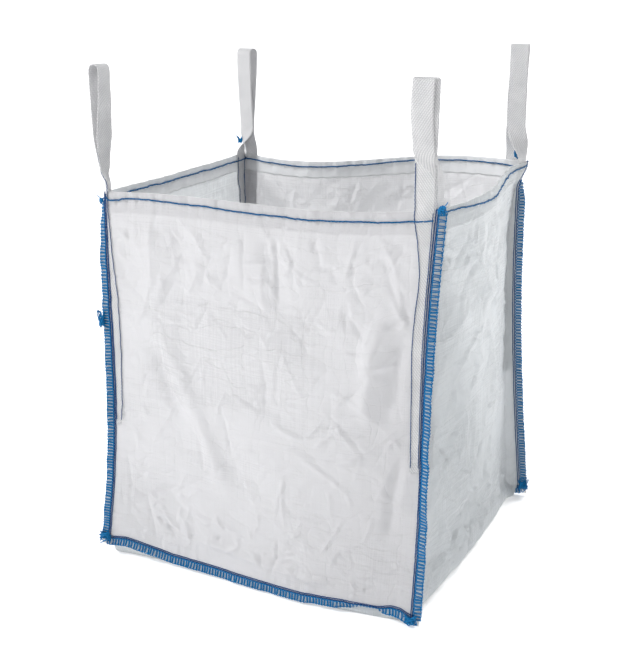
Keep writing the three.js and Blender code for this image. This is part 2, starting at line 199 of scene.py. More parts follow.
def side_wall(name, s, t):
    """The plain left or right wall, reaching down to the base."""
    u, v = np.broadcast_arrays(np.asarray(s, float) / PANEL_WIDTH, np.asarray(t, float) / PANEL_HEIGHT)
    foot, rim = wall_point(name, u, 0), wall_point(name, u, 1)
    bottom = bottom_point(0.0 if name == "left" else 1.0, u)
    return lerp(bottom, rim, v) + wall_point(name, u, v) - lerp(foot, rim, v)


def flare(s, t):
    """Towards the back right corner the rim opens outwards."""
    high = smooth((t - PANEL_HEIGHT + 0.080) / 0.080)
    return 0.026 * high * smooth((np.minimum(s, PANEL_WIDTH) - PANEL_WIDTH + 0.14) / 0.14)


# ---- relief of the cloth ------------------------------------------------------------------------
def fold(s, t, points, height, width, soft=False):
    """A fold along a line of points: a crest that falls off over width and runs out at its ends."""
    points = np.array(points, float)
    lengths = np.linalg.norm(np.diff(points, axis=0), axis=1)
    near = np.full(np.shape(s), np.inf)
    place = np.zeros(np.shape(s))
    sofar = 0.0
    for a, b, length in zip(points[:-1], points[1:], lengths):
        along = np.clip(((s - a[0]) * (b[0] - a[0]) + (t - a[1]) * (b[1] - a[1])) / length**2, 0, 1)
        gap = np.hypot(s - a[0] - along * (b[0] - a[0]), t - a[1] - along * (b[1] - a[1]))
        place = np.where(gap < near, (sofar + along * length) / lengths.sum(), place)
        near = np.minimum(near, gap)
        sofar += length
    run = smooth(np.minimum(place, 1 - place) / 0.3)
    if soft:
        return height * run * np.exp(-((near / width) ** 2))
    return height * run * np.exp(-(np.hypot(near, 0.3 * width) - 0.3 * width) / width)


def random_creases(seed, count, height, low, high, size, lean=None):
    """Short creases at seeded places in a wall: (points, height, width, reach) each."""
    rng = np.random.default_rng(seed)
    found = []
    for _ in range(count):
        middle = np.array([rng.uniform(0.02, PANEL_WIDTH - 0.02), rng.uniform(low, high)])
        angle = rng.uniform(0, np.pi) if lean is None else rng.normal(lean, 0.5)
        length = size * np.exp(rng.normal(0, 0.5))
        arm = 0.5 * length * np.array([math.cos(angle), math.sin(angle)])
        bow = rng.normal(0, 0.12) * np.array([-arm[1], arm[0]])
        wide = rng.uniform(0.0028, 0.0065)
        tall = height * rng.choice([-1, 1]) * rng.uniform(0.3, 1)
        found.append(([middle - arm, middle + bow, middle + arm], tall, wide, length / 2 + 5 * wide))
    return found


def add_creases(total, s, t, creases):
    for points, height, width, reach in creases:
        middle = points[1]
        close = (np.abs(s - middle[0]) < reach) & (np.abs(t - middle[1]) < reach)
        if close.any():
            total[close] += fold(s[close], t[close], points, height, width)


def facets(s, t, seed, waves, height, shortest=0.09, longest=0.30):
    """Flat-sided crumpling: triangle waves in seeded directions, bent by slower ones."""
    rng = np.random.default_rng(seed)
    total = np.zeros(np.shape(s))
    for _ in range(waves):
        length = rng.uniform(shortest, longest)
        angle = rng.uniform(0, np.pi)
        across = s * math.cos(angle) + t * math.sin(angle)
        beside = t * math.cos(angle) - s * math.sin(angle)
        swing = np.sin(beside * 2 * np.pi / (length * rng.uniform(1.6, 3)) + rng.uniform(0, PHASE))
        bent = across + 0.35 * length * swing
        swell = 0.6 + 0.4 * np.sin(beside * 2 * np.pi / (length * rng.uniform(2, 4)) + rng.uniform(0, PHASE))
        turn = bent * 2 * np.pi / length + rng.uniform(0, PHASE)
        total += height * (length / longest) * swell * np.arcsin(0.96 * np.sin(turn))
    return total / math.sqrt(waves)


def wobble(along, seed, length=0.10):
    """A slow seeded wave along a seam, about 1 high."""
    rng = np.random.default_rng(seed)
    total = np.zeros(np.shape(along))
    for share in (1.0, 0.53, 0.31):
        one = length * share * rng.uniform(0.9, 1.2)
        total += share**0.7 * np.sin(2 * np.pi * along / one + rng.uniform(0, PHASE))
    return total / 1.6


# Folds of the front panel: places in (s, t), height and width in metres.
FRONT_FOLDS = [
    ([(0.42, 0.95), (0.42, 0.85), (0.425, 0.76)], -0.0022, 0.005),
    ([(0.50, 0.95), (0.51, 0.86), (0.52, 0.72)], -0.0030, 0.006),
    ([(0.45, 0.95), (0.49, 0.90), (0.505, 0.84)], 0.0026, 0.008),
    ([(0.555, 0.90), (0.555, 0.83), (0.557, 0.77)], -0.0024, 0.005),
    ([(0.31, 0.87), (0.305, 0.80), (0.30, 0.74)], -0.0018, 0.006),
    ([(0.34, 0.84), (0.35, 0.78)], -0.0014, 0.006),
    ([(0.145, 0.95), (0.14, 0.82), (0.14, 0.70)], 0.0028, 0.010),
    ([(0.15, 0.72), (0.19, 0.77), (0.24, 0.84)], 0.0030, 0.010),
    ([(0.13, 0.69), (0.20, 0.705), (0.31, 0.715)], 0.0026, 0.005),
    ([(0.31, 0.715), (0.42, 0.70), (0.55, 0.74), (0.62, 0.74)], 0.0014, 0.006),
    ([(0.48, 0.62), (0.485, 0.52), (0.475, 0.44)], -0.0032, 0.008),
    ([(0.54, 0.66), (0.52, 0.56), (0.505, 0.46)], -0.0026, 0.009),
    ([(0.42, 0.46), (0.46, 0.50), (0.49, 0.56)], -0.0016, 0.006),
    ([(0.03, 0.425), (0.12, 0.44), (0.23, 0.44), (0.36, 0.455), (0.49, 0.48)], 0.0017, 0.005),
    ([(0.49, 0.45), (0.54, 0.425), (0.60, 0.41)], 0.0034, 0.006),
    ([(0.60, 0.385), (0.63, 0.405), (0.67, 0.44), (0.75, 0.465)], 0.0034, 0.006),
    ([(0.57, 0.375), (0.64, 0.34), (0.72, 0.29)], 0.0032, 0.006),
    ([(0.57, 0.375), (0.65, 0.36), (0.72, 0.375), (0.77, 0.42)], 0.0022, 0.006),
    ([(0.38, 0.22), (0.46, 0.205), (0.55, 0.215), (0.64, 0.20)], -0.0015, 0.005),
    ([(0.75, 0.95), (0.80, 0.88), (0.83, 0.80)], 0.0020, 0.005),
    ([(0.81, 0.78), (0.84, 0.73), (0.865, 0.71)], 0.0034, 0.008),
    ([(0.835, 0.82), (0.845, 0.76), (0.86, 0.70)], -0.0028, 0.008),
    ([(0.80, 0.40), (0.83, 0.44), (0.85, 0.41)], 0.0030, 0.007),
    ([(0.79, 0.31), (0.83, 0.28), (0.86, 0.29)], 0.0020, 0.007),
    ([(0.21, 0.13), (0.235, 0.09), (0.26, 0.04)], 0.0034, 0.008),
    ([(0.15, 0.115), (0.19, 0.085), (0.22, 0.07)], 0.0024, 0.006),
    ([(0.24, 0.40), (0.28, 0.34), (0.29, 0.24)], -0.0026, 0.008),
    ([(0.04, 0.36), (0.07, 0.33), (0.08, 0.27)], 0.0018, 0.006),
    ([(0.06, 0.62), (0.10, 0.66), (0.13, 0.69)], 0.0030, 0.008),
]
FRONT_SWELLS = [
    ([(0.14, 0.70), (0.19, 0.57), (0.25, 0.45), (0.31, 0.33), (0.37, 0.22), (0.45, 0.15)], 0.0085, 0.030),
    ([(0.12, 0.62), (0.17, 0.50), (0.23, 0.38)], -0.0065, 0.022),
    ([(0.81, 0.78), (0.77, 0.66), (0.755, 0.54), (0.76, 0.42)], 0.0080, 0.022),
    ([(0.845, 0.72), (0.82, 0.60), (0.81, 0.46)], -0.0075, 0.020),
    ([(0.85, 0.42), (0.83, 0.30), (0.82, 0.16)], -0.0070, 0.016),
    ([(0.46, 0.92), (0.52, 0.80), (0.53, 0.70)], -0.0045, 0.030),
    ([(0.20, 0.92), (0.23, 0.80), (0.20, 0.72)], -0.0050, 0.035),
    ([(0.30, 0.66), (0.42, 0.60), (0.60, 0.62)], 0.0040, 0.060),
    ([(0.16, 0.058), (0.32, 0.060), (0.50, 0.046), (0.66, 0.036), (0.82, 0.032)], 0.0055, 0.012),
    ([(0.72, 0.86), (0.70, 0.74), (0.68, 0.62)], 0.0035, 0.040),
]
# Folds of the right wall: s runs from the front right corner to the back one.
RIGHT_FOLDS = [
    ([(0.11, 0.93), (0.18, 0.88), (0.25, 0.82), (0.34, 0.74), (0.44, 0.67)], 0.0065, 0.010),
    ([(0.43, 0.62), (0.49, 0.56), (0.50, 0.47), (0.58, 0.39), (0.62, 0.30)], 0.0055, 0.010),
    ([(0.02, 0.66), (0.14, 0.68), (0.26, 0.73)], 0.0026, 0.007),
    ([(0.48, 0.68), (0.56, 0.66), (0.66, 0.66)], -0.0050, 0.012),
    ([(0.02, 0.52), (0.10, 0.47), (0.14, 0.50), (0.20, 0.54)], 0.0038, 0.009),
    ([(0.02, 0.43), (0.12, 0.44), (0.28, 0.47)], 0.0045, 0.009),
    ([(0.02, 0.36), (0.12, 0.39), (0.24, 0.44)], 0.0050, 0.010),
    ([(0.02, 0.30), (0.12, 0.35), (0.22, 0.40)], 0.0040, 0.009),
    ([(0.02, 0.25), (0.10, 0.30), (0.18, 0.36)], 0.0050, 0.010),
    ([(0.26, 0.46), (0.24, 0.38), (0.18, 0.30)], 0.0050, 0.010),
    ([(0.30, 0.44), (0.34, 0.36), (0.33, 0.27)], -0.0045, 0.012),
    ([(0.22, 0.31), (0.30, 0.28), (0.37, 0.31)], 0.0060, 0.010),
    ([(0.27, 0.24), (0.36, 0.20), (0.50, 0.19), (0.65, 0.22)], 0.0045, 0.010),
    ([(0.36, 0.16), (0.52, 0.13), (0.66, 0.12)], 0.0045, 0.009),
    ([(0.14, 0.22), (0.18, 0.14), (0.24, 0.06)], 0.0060, 0.012),
    ([(0.26, 0.20), (0.30, 0.12), (0.37, 0.03)], 0.0060, 0.011),
    ([(0.34, 0.22), (0.37, 0.13), (0.42, 0.05)], -0.0055, 0.012),
    ([(0.02, 0.18), (0.08, 0.22), (0.14, 0.27)], 0.0045, 0.010),
    ([(0.02, 0.11), (0.10, 0.16), (0.18, 0.18)], 0.0045, 0.010),
    ([(0.03, 0.05), (0.12, 0.09), (0.20, 0.10)], 0.0035, 0.009),
    ([(0.46, 0.98), (0.50, 0.86), (0.52, 0.72)], -0.0050, 0.014),
    ([(0.60, 0.92), (0.62, 0.80), (0.60, 0.70)], 0.0045, 0.014),
    ([(0.52, 0.28), (0.58, 0.22), (0.66, 0.20)], 0.0040, 0.010),
]
RIGHT_SWELLS = [
    ([(0.20, 0.96), (0.30, 0.80), (0.46, 0.66)], 0.0080, 0.050),
    ([(0.40, 0.60), (0.52, 0.46), (0.60, 0.30)], 0.0070, 0.050),
    ([(0.12, 0.62), (0.24, 0.56), (0.36, 0.56)], -0.0060, 0.060),
]


FOLD_GAIN, SWELL_GAIN = 1.8, 1.4  # how much stronger the folds and swells above are than listed


class Wall:
    """The relief of one wall, outwards from its plain shape."""

    def __init__(self, name, seed, crumple, creases, crease, folds=(), swells=()):
        self.name, self.seed, self.folds, self.swells, self.crumple = name, seed, folds, swells, crumple
        self.creases = random_creases(seed, creases, crease, 0.03, PANEL_HEIGHT - HEM - 0.01, 0.09)
        self.creases += random_creases(seed + 1, creases // 3, crease, 0.70, 0.93, 0.07, lean=math.pi / 2)
        self.creases += random_creases(seed + 2, creases // 3, 1.3 * crease, 0.01, 0.14, 0.05)
        self.out = np.array(WALLS[name]["out"], float)

    def relief(self, s, t):
        s, t = np.broadcast_arrays(np.asarray(s, float), np.asarray(t, float))
        side = np.minimum(s, PANEL_WIDTH - s)
        depth = PANEL_HEIGHT - t
        total = facets(s, t, self.seed, 7, self.crumple)
        total += facets(s, t, self.seed + 5, 6, 0.35 * self.crumple, 0.03, 0.08)
        for points, height, width in self.folds:
            total += FOLD_GAIN * fold(s, t, points, height, width)
        for points, height, width in self.swells:
            total += SWELL_GAIN * fold(s, t, points, height, width, soft=True)
        add_creases(total, s, t, self.creases)
        total *= smooth(side / 0.06) * smooth(t / 0.05) * (0.35 + 0.65 * smooth((depth - HEM) / 0.05))
        total += self.puckers(side, t, s)
        total += self.hem(s, depth)
        return total + self.seam_waves(s, t)

    def puckers(self, side, t, s):
        """Short folds that run into the side seams and the bottom seam."""
        total = np.zeros(np.shape(s))
        for along, away, seed in ((t, side, 11), (s, t, 12)):
            strength = 0.6 + 0.6 * wobble(along, self.seed + seed + 3, 0.30)
            pull = wobble(along, self.seed + seed, 0.034) * strength
            total += 0.0028 * pull * smooth(away / 0.012) * np.exp(-np.maximum(away, 0) / 0.030)
        return total

    def hem(self, s, depth):
        """The hem: a little proud with a soft lower edge, drawn in along its stitches."""
        proud = 0.0010 * (1 - smooth((depth - HEM + 0.002 * wobble(s, self.seed + 20, 0.20)) / 0.006))
        line = through(HEM_LINE[self.name], s)
        groove = -0.0013 * np.exp(-(((depth - line) / 0.004) ** 2))
        gathers = 0.0020 * wobble(s, self.seed + 21, 0.028) * np.exp(-np.abs(depth - line) / 0.012)
        rim = 0.0026 * wobble(s, self.seed + 22, 0.085) * np.exp(-np.maximum(depth, 0) / 0.03)
        return (proud + groove + gathers + rim) * smooth(np.minimum(s, PANEL_WIDTH - s) / 0.03)

    def seam_waves(self, s, t):
        """The fins wave a little, more at their outer edge."""
        total = np.zeros(np.shape(s))
        for along, reach, seed in ((t, -s, 31), (t, s - PANEL_WIDTH, 32), (s, -t, 33)):
            share = 0.3 * np.exp(np.minimum(reach, 0) / 0.02) + 0.7 * np.clip(reach / FIN, 0, 1.3)
            total += 0.0024 * wobble(along, self.seed + seed, 0.13) * share
        return total

    def point(self, s, t, off=0.0):
        """The wall's surface at (s, t), moved outwards by off."""
        s, t = np.broadcast_arrays(np.asarray(s, float), np.asarray(t, float))
        if self.name in ("left", "right"):
            at = side_wall(self.name, s, t) + self.out * self.relief(s, t)[..., None]
            facing = self.out
            if self.name == "right":
                at += wing(s, t)
                at[..., 0] += flare(s, t)
                facing = wing_facing(s, t)
            return at + facing * np.asarray(off + 0 * s)[..., None]
        at = wall_point(self.name, s / PANEL_WIDTH, t / PANEL_HEIGHT)
        if self.name == "front":
            at[..., 2] += through(FOOT_LIFT, s) * np.exp(-np.maximum(t, 0) / 0.06)
        else:
            at[..., 0] += flare(s, t)
        return self.turned_fins(at, s, t, self.relief(s, t) + off)

    def turned_fins(self, at, s, t, off):
        """Turns the seam allowances about their seams, and moves the surface off along its own normal."""
        first, last = WALLS[self.name]["ends"]
        normal = np.zeros(at.shape) + self.out
        for key, reach in ((first, -s), (last, s - PANEL_WIDTH)):
            reach = np.maximum(reach, 0)
            turn = np.radians(through(FIN_TURN[key], t / PANEL_HEIGHT))
            far = reach**2 / (reach + 0.004)
            at[..., 0] += far * (np.cos(turn) - 1) * SIDE[key]
            at[..., 1] += far * np.sin(turn)
            turn = turn * smooth(reach / 0.006)
            around = np.stack([-SIDE[key] * np.sin(turn), np.cos(turn), 0 * turn], -1) * self.out[1]
            normal = np.where((reach > 0)[..., None], around, normal)
        reach = np.maximum(-t, 0)
        turn = np.radians(through(BOTTOM_TURN[self.name], s / PANEL_WIDTH))
        far = reach**2 / (reach + 0.004)
        at[..., 2] += far * (1 - np.cos(turn))
        at += self.out * (far * np.sin(turn))[..., None]
        turn = turn * smooth(reach / 0.006)
        below = self.out * np.cos(turn)[..., None] + np.array([0, 0, 1.0]) * np.sin(turn)[..., None]
        normal = np.where((reach > 0)[..., None], unit(below + normal - self.out), normal)
        return at + normal * np.asarray(off)[..., None]


walls = {
    "front": Wall("front", 100, 0.0038, 190, 0.0040, FRONT_FOLDS, FRONT_SWELLS),
    "back": Wall("back", 200, 0.0075, 200, 0.0042),
    "left": Wall("left", 300, 0.0075, 200, 0.0042),
    "right": Wall("right", 400, 0.0050, 240, 0.0062, RIGHT_FOLDS, RIGHT_SWELLS),
}


# ---- mesh makers --------------------------------------------------------------------------------
def mesh_object(name, verts, faces, flat_faces, attributes, material):
    """An object from arrays; attributes are vectors for each vertex."""
    mesh = bpy.data.meshes.new(name)
    mesh.from_pydata(verts.tolist(), [], faces.tolist())
    shaded = np.ones(len(faces), bool)
    shaded[flat_faces] = False
    mesh.polygons.foreach_set("use_smooth", shaded)
    for key, values in attributes.items():
        layer = mesh.attributes.new(key, "FLOAT_VECTOR", "POINT")
        layer.data.foreach_set("vector", np.ascontiguousarray(values, np.float32).ravel())
    mesh.update()
    mesh.materials.append(material)
    thing = bpy.data.objects.new(name, mesh)
    bpy.context.scene.collection.objects.link(thing)
    return thing


def sheet_mesh(name, grid, thickness, cloth, material):
    """A thin closed body about a grid of points. cloth is each point's place on the flat cut."""
    rows, cols = grid.shape[:2]
    normal = unit(np.cross(np.gradient(grid, axis=1), np.gradient(grid, axis=0)))
    faces_of_sheet = (grid + normal * thickness / 2, grid - normal * thickness / 2)
    verts = np.concatenate([side.reshape(-1, 3) for side in faces_of_sheet])
    place = np.arange(rows * cols).reshape(rows, cols)
    a, b = place[:-1, :-1].ravel(), place[:-1, 1:].ravel()
    c, d = place[1:, 1:].ravel(), place[1:, :-1].ravel()
    upper = np.stack([a, b, c, d], 1)
    lower = np.stack([d, c, b, a], 1) + rows * cols
    ring = np.concatenate([place[0, :-1], place[:-1, -1], place[-1, :0:-1], place[:0:-1, 0]])
    after = np.roll(ring, -1)
    border = np.stack([after, ring, ring + rows * cols, after + rows * cols], 1)
    faces = np.concatenate([upper, lower, border])
    flat = np.arange(len(faces) - len(border), len(faces))
    flat_place = np.concatenate([cloth.reshape(-1, 3)] * 2)
    return mesh_object(name, verts, faces, flat, {"cloth": flat_place}, material)


SIDES = 6  # of a thread's cross-section
CAP = np.array([[0, 1, 2, 3], [3, 4, 5, 0]])  # its end, as two quads


def tube_arrays(points, radius):
    """Vertices, faces and ply coordinates of a closed tube along points."""
    points = np.asarray(points, float)
    count = len(points)
    tangent = unit(np.gradient(points, axis=0))
    normal = np.zeros_like(points)
    start = np.cross(tangent[0], (0.3, 0.5, 0.8))
    for i in range(count):
        start = start - tangent[i] * np.dot(start, tangent[i])
        start = start / max(np.linalg.norm(start), 1e-12)
        normal[i] = start
    other = np.cross(tangent, normal)
    angle = np.arange(SIDES) * 2 * np.pi / SIDES
    thick = np.full(count, radius)
    thick[[0, -1]] *= 0.45
    ring = normal[:, None] * np.cos(angle)[None, :, None] + other[:, None] * np.sin(angle)[None, :, None]
    verts = (points[:, None] + ring * thick[:, None, None]).reshape(-1, 3)
    place = np.arange(count * SIDES).reshape(count, SIDES)
    after = np.roll(place, -1, axis=1)
    faces = np.stack([place[:-1].ravel(), after[:-1].ravel(), after[1:].ravel(), place[1:].ravel()], 1)
    along = np.concatenate([[0], np.cumsum(np.linalg.norm(np.diff(points, axis=0), axis=1))])
    ply = [np.repeat(along, SIDES), np.tile(np.cos(angle), count), np.tile(np.sin(angle), count)]
    return verts, np.concatenate([faces, place[0][CAP[:, ::-1]], place[-1][CAP]]), np.stack(ply, 1)


def thread_object(name, paths, radius, material):
    """Threads along several paths, as one object."""
    verts, faces, plies, total = [], [], [], 0
    for path in paths:
        v, f, ply = tube_arrays(path, radius)
        verts.append(v)
        faces.append(f + total)
        plies.append(ply)
        total += len(v)
    attributes = {"ply": np.concatenate(plies)}
    return mesh_object(name, np.concatenate(verts), np.concatenate(faces), [], attributes, material)


def resample(stations, step):
    """Points on a smooth curve through stations, an array whose first axis runs along it, evenly spaced."""
    stations = np.asarray(stations, float)
    centre = stations.reshape(len(stations), -1, 3).mean(1)
    knots = np.concatenate([[0], np.cumsum(np.linalg.norm(np.diff(centre, axis=0), axis=1))])
    slope = np.gradient(stations, knots, axis=0)
    places = np.linspace(0, knots[-1], max(int(round(knots[-1] / step)), 2) + 1)
    k = np.clip(np.searchsorted(knots, places, side="right") - 1, 0, len(knots) - 2)
    shape = (-1,) + (1,) * (stations.ndim - 1)
    gap = (knots[k + 1] - knots[k]).reshape(shape)
    x = (places - knots[k]).reshape(shape) / gap
    a, b = stations[k], stations[k + 1]
    blend_b = x * x * (3 - 2 * x)
    bend_a = x * (1 - x) ** 2 * gap
    bend_b = x * x * (x - 1) * gap
    return a + (b - a) * blend_b + slope[k] * bend_a + slope[k + 1] * bend_b


# ---- materials ----------------------------------------------------------------------------------
class Value:
    """A socket that sums and products can be written with, each making a math node."""

    def __init__(self, graph, socket):
        self.graph, self.socket = graph, socket

    def __add__(self, other):
        return self.graph.math("ADD", self, other)

    def __sub__(self, other):
        return self.graph.math("SUBTRACT", self, other)

    def __mul__(self, other):
        return self.graph.math("MULTIPLY", self, other)

    def __pow__(self, other):
        return self.graph.math("POWER", self, other)

    def scaled(self, factor, more):
        return self.graph.math("MULTIPLY_ADD", self, factor, more)


class Graph:
    """A short way to build a material's node tree."""

    def __init__(self, name):
        self.material = bpy.data.materials.new(name)
        self.material.use_nodes = True
        self.tree = self.material.node_tree
        self.tree.nodes.clear()
        self.output = self.tree.nodes.new("ShaderNodeOutputMaterial")

    def put(self, socket, value):
        if isinstance(value, Value):
            self.tree.links.new(value.socket, socket)
        else:
            socket.default_value = value

    def node(self, kind, inputs=None, out=0, **settings):
        made = self.tree.nodes.new(kind)
        for key, value in settings.items():
            setattr(made, key, value)
        for key, value in (inputs or {}).items():
            self.put(made.inputs[key], value)
        return Value(self, made.outputs[out])

    def math(self, operation, a, b=0.0, c=0.0):
        return self.node("ShaderNodeMath", {0: a, 1: b, 2: c}, operation=operation)

    def parts(self, attribute):
        vector = self.node("ShaderNodeAttribute", out="Vector", attribute_name=attribute)
        split = self.tree.nodes.new("ShaderNodeSeparateXYZ")
        self.put(split.inputs[0], vector)
        return [Value(self, socket) for socket in split.outputs]

    def vector(self, x, y, z=0.0):
        return self.node("ShaderNodeCombineXYZ", {0: x, 1: y, 2: z})

    def noise(self, vector, scale, detail=2.0, rough=0.5):
        inputs = {"Vector": vector, "Scale": scale, "Detail": detail, "Roughness": rough}
        return self.node("ShaderNodeTexNoise", inputs)

    def between(self, factor, low, high):
        """low to high as factor goes from 0 to 1."""
        return self.node("ShaderNodeMapRange", {"Value": factor, "To Min": low, "To Max": high})

    def mix(self, factor, a, b):
        return self.node("ShaderNodeMix", {0: factor, 6: a, 7: b}, out=2, data_type="RGBA")

    def bump(self, height, distance, strength=1.0, normal=None):
        inputs = {"Height": height, "Distance": distance, "Strength": strength}
        if normal is not None:
            inputs["Normal"] = normal
        return self.node("ShaderNodeBump", inputs)

    def principled(self, color, roughness, normal=None, **more):
        """The main surface shader; more names its other inputs, with _ for a space."""
        inputs = {"Base Color": color, "Roughness": roughness}
        if normal is not None:
            inputs["Normal"] = normal
        inputs.update({name.replace("_", " "): value for name, value in more.items()})
        return self.node("ShaderNodeBsdfPrincipled", inputs)

    def finish(self, shader):
        self.put(self.output.inputs["Surface"], shader)
        return self.material


def rgba(color, factor=1.0):
    return tuple(factor * c for c in color) + (1.0,)


TAPE = 0.0024  # width of the woven tapes
STREAK = 330.0  # streaks along the tapes, to the metre
RIB = 0.0052  # the webbing's twill ribs
FLOAT = 0.006  # length of the twill's floats
YARN = 0.0015  # the webbing's yarns


def fabric_material(name, tint, see_through):
    """Woven polypropylene tape: flat tapes over and under, slightly glossy, letting some light through."""
    g = Graph(name)
    s, t, wear_and_hem_light = g.parts("cloth")
    ribs_s = g.math("ABSOLUTE", g.math("SINE", s * (math.pi / TAPE)))
    ribs_t = g.math("ABSOLUTE", g.math("SINE", t * (math.pi / TAPE)))
    over = g.node("ShaderNodeTexChecker", {"Vector": g.vector(s, t), "Scale": 1 / TAPE}, out=1)
    weave = ribs_s**0.45 * over + ribs_t**0.45 * g.math("SUBTRACT", 1.0, over)
    down = g.noise(g.vector(s * STREAK, t * 2.5), 1.0)
    across = g.noise(g.vector(s * 2.5, t * STREAK, 7.0), 1.0)
    streaks = down * 0.5 + across * 0.5
    cloud = g.noise(g.vector(s, t), 5.0, 4.0)
    bent = cloud * 0.10
    upright = g.noise(g.vector(s + bent, t * 0.20, 1.0), 17.0, 1.5, 0.5)
    lying = g.noise(g.vector(s * 0.25, t + bent, 5.0), 21.0, 1.5, 0.5)
    ridges = [g.math("MINIMUM", g.math("ABSOLUTE", n - 0.5), 0.03) for n in (upright, lying)]
    frost = g.noise(g.vector(s, t, 3.0), 170.0, 3.0, 0.65)
    patch = g.between(g.noise(g.vector(s, t, 9.0), 4.0, 3.0), -0.6, 1.6)
    patch = g.math("MAXIMUM", g.math("MINIMUM", patch + wear_and_hem_light, 1.0), 0.0)
    creased = g.bump((ridges[0] + ridges[1]) * (patch + 0.25), 0.026, 0.9)
    frosted = g.bump(frost * patch, 0.0036, 0.8, creased)
    woven = g.bump(weave, 0.00030, 0.7, frosted)
    color = g.mix(streaks * 0.65 + cloud * 0.35, rgba(tint, 0.90), rgba(tint, 1.03))
    # Painted highlight and shade: each tape is painted paler on its crest, where the weave stands highest,
    # and darker in the gaps between tapes.
    color = g.mix(weave * 0.15, color, (0.90, 0.91, 0.92, 1.0))
    # Painted light: the hem, marked by a negative third value, is painted paler than the wall below, standing
    # in for light on the rim's double layer.
    hem_light = g.math("MAXIMUM", wear_and_hem_light * -1.0, 0.0)
    color = g.mix(hem_light, color, (0.95, 0.955, 0.96, 1.0))
    rough = g.between(streaks, 0.22, 0.44) + patch * -0.06
    front = g.principled(color, rough, woven, Specular_IOR_Level=0.8, IOR=1.49)
    through_it = g.node("ShaderNodeBsdfTranslucent", {"Color": (0.97, 0.975, 0.98, 1.0), "Normal": creased})
    share = g.between(streaks, see_through - 0.06, see_through + 0.06)
    return g.finish(g.node("ShaderNodeMixShader", {0: share, 1: front, 2: through_it}))


def webbing_material():
    """Twill webbing: diagonal ribs of matt white yarn, broken into short floats."""
    g = Graph("webbing_twill")
    across, along, _ = g.parts("cloth")
    phase = across * (0.81 / RIB) + along * (-0.59 / RIB)
    rib = g.math("COSINE", phase * (2 * math.pi)).scaled(0.5, 0.5) ** 0.6
    place = across * (0.59 / FLOAT) + along * (0.81 / FLOAT)
    place = place + g.math("ROUND", phase) * 0.5
    notch = g.math("COSINE", place * (2 * math.pi)).scaled(0.5, 0.5)
    rib = rib * (notch**3.0).scaled(-0.45, 1.0)
    yarn = g.math("SINE", across * (2 * math.pi / YARN)).scaled(0.5, 0.5)
    fuzz = g.noise(g.vector(across * 900.0, along * 260.0), 1.0, 3.0)
    cloud = g.noise(g.vector(across, along, 2.0), 22.0, 3.0)
    height = rib * 0.8 + yarn * 0.2
    ribbed = g.bump(height, 0.0014, 1.0, g.bump(fuzz, 0.0003, 0.6))
    # Painted shade and highlight: the colour is darker in the grooves between ribs and floats and paler on
    # their crests, with a random fuzzy tone on top.
    color = g.mix(height * 0.6 + fuzz * cloud * 0.8, (0.50, 0.50, 0.52, 1.0), (1.0, 1.0, 1.0, 1.0))
    surface = g.principled(
        color, g.between(fuzz, 0.55, 0.8), ribbed,
        Specular_IOR_Level=0.35, Sheen_Weight=0.15, Sheen_Roughness=0.5,
    )
    glow = g.node("ShaderNodeBsdfTranslucent", {"Color": color})
    return g.finish(g.node("ShaderNodeMixShader", {0: 0.26, 1: surface, 2: glow}))


def thread_material(name, dark, bright, twist):
    """Twisted polyester thread: plies winding round it, with a painted highlight on their crests and painted
    shade between them, and a soft sheen.
    """
    g = Graph(name)
    along, cosine, sine = g.parts("ply")
    turn = g.math("ARCTAN2", sine, cosine)
    ply = g.math("SINE", turn * 2.0 + along * (2 * math.pi / twist)).scaled(0.5, 0.5)
    where = g.node("ShaderNodeTexCoord", out="Object")
    fuzz = g.noise(where, 1500.0, 2.0)
    cloud = g.noise(where, 60.0, 2.0)
    # Painted highlight and shade by the ply's height, with a random tone from fuzz and cloud on top.
    color = g.mix(ply * 0.5 + (fuzz + cloud) * 0.25, rgba(dark), rgba(bright))
    wound = g.bump(ply, 0.0004, 0.8, g.bump(fuzz, 0.0001, 0.5))
    surface = g.principled(
        color, g.between(fuzz, 0.42, 0.65), wound,
        Specular_IOR_Level=0.25, Sheen_Weight=0.05, Sheen_Roughness=0.4,
    )
    return g.finish(surface)


def floor_material():
    """Plain pale studio floor with the faintest unevenness."""
    g = Graph("studio_floor")
    where = g.node("ShaderNodeTexCoord", out="Object")
    tone = g.noise(where, 3.0, 2.0)
    color = g.mix(tone, (0.90, 0.90, 0.90, 1.0), (0.93, 0.93, 0.93, 1.0))
    white = (1.0, 1.0, 1.0, 1.0)
    surface = g.principled(color, 0.9, Specular_IOR_Level=0.1, Emission_Color=white, Emission_Strength=0.30)
    return g.finish(surface)


FABRIC_FLAT = fabric_material("woven_polypropylene", (0.665, 0.652, 0.667), 0.48)
FABRIC_U = fabric_material("woven_polypropylene_sides", (0.655, 0.688, 0.705), 0.50)
WEBBING = webbing_material()
# Each thread goes from a dark to a bright blue: its own tone, spread by painted shade between plies and
# painted highlight on their crests.
OVERLOCK = thread_material("overlock_thread_blue", (0.0, 0.050, 0.16), (0.0, 0.270, 0.62), 0.006)
HEM_THREAD = thread_material("hem_thread_blue", (0.0, 0.045, 0.15), (0.0, 0.150, 0.36), 0.007)
CHAIN = thread_material("chain_thread_navy", (0.0, 0.018, 0.085), (0.002, 0.080, 0.28), 0.005)


# ---- fabric panels ------------------------------------------------------------------------------
def spaced(length, step, fine=(0.003, 0.007, 0.011)):
    """Places from 0 to length, closer together near both ends."""
    start = fine[-1] + step
    count = int(round((length - 2 * start) / step))
    middle = np.linspace(start, length - start, count + 1)
    return np.concatenate([[0], fine, middle, length - np.array(fine)[::-1], [length]])


FIN_STEPS = np.array([0.0025, 0.0060, 0.0095, 0.0130, FIN])
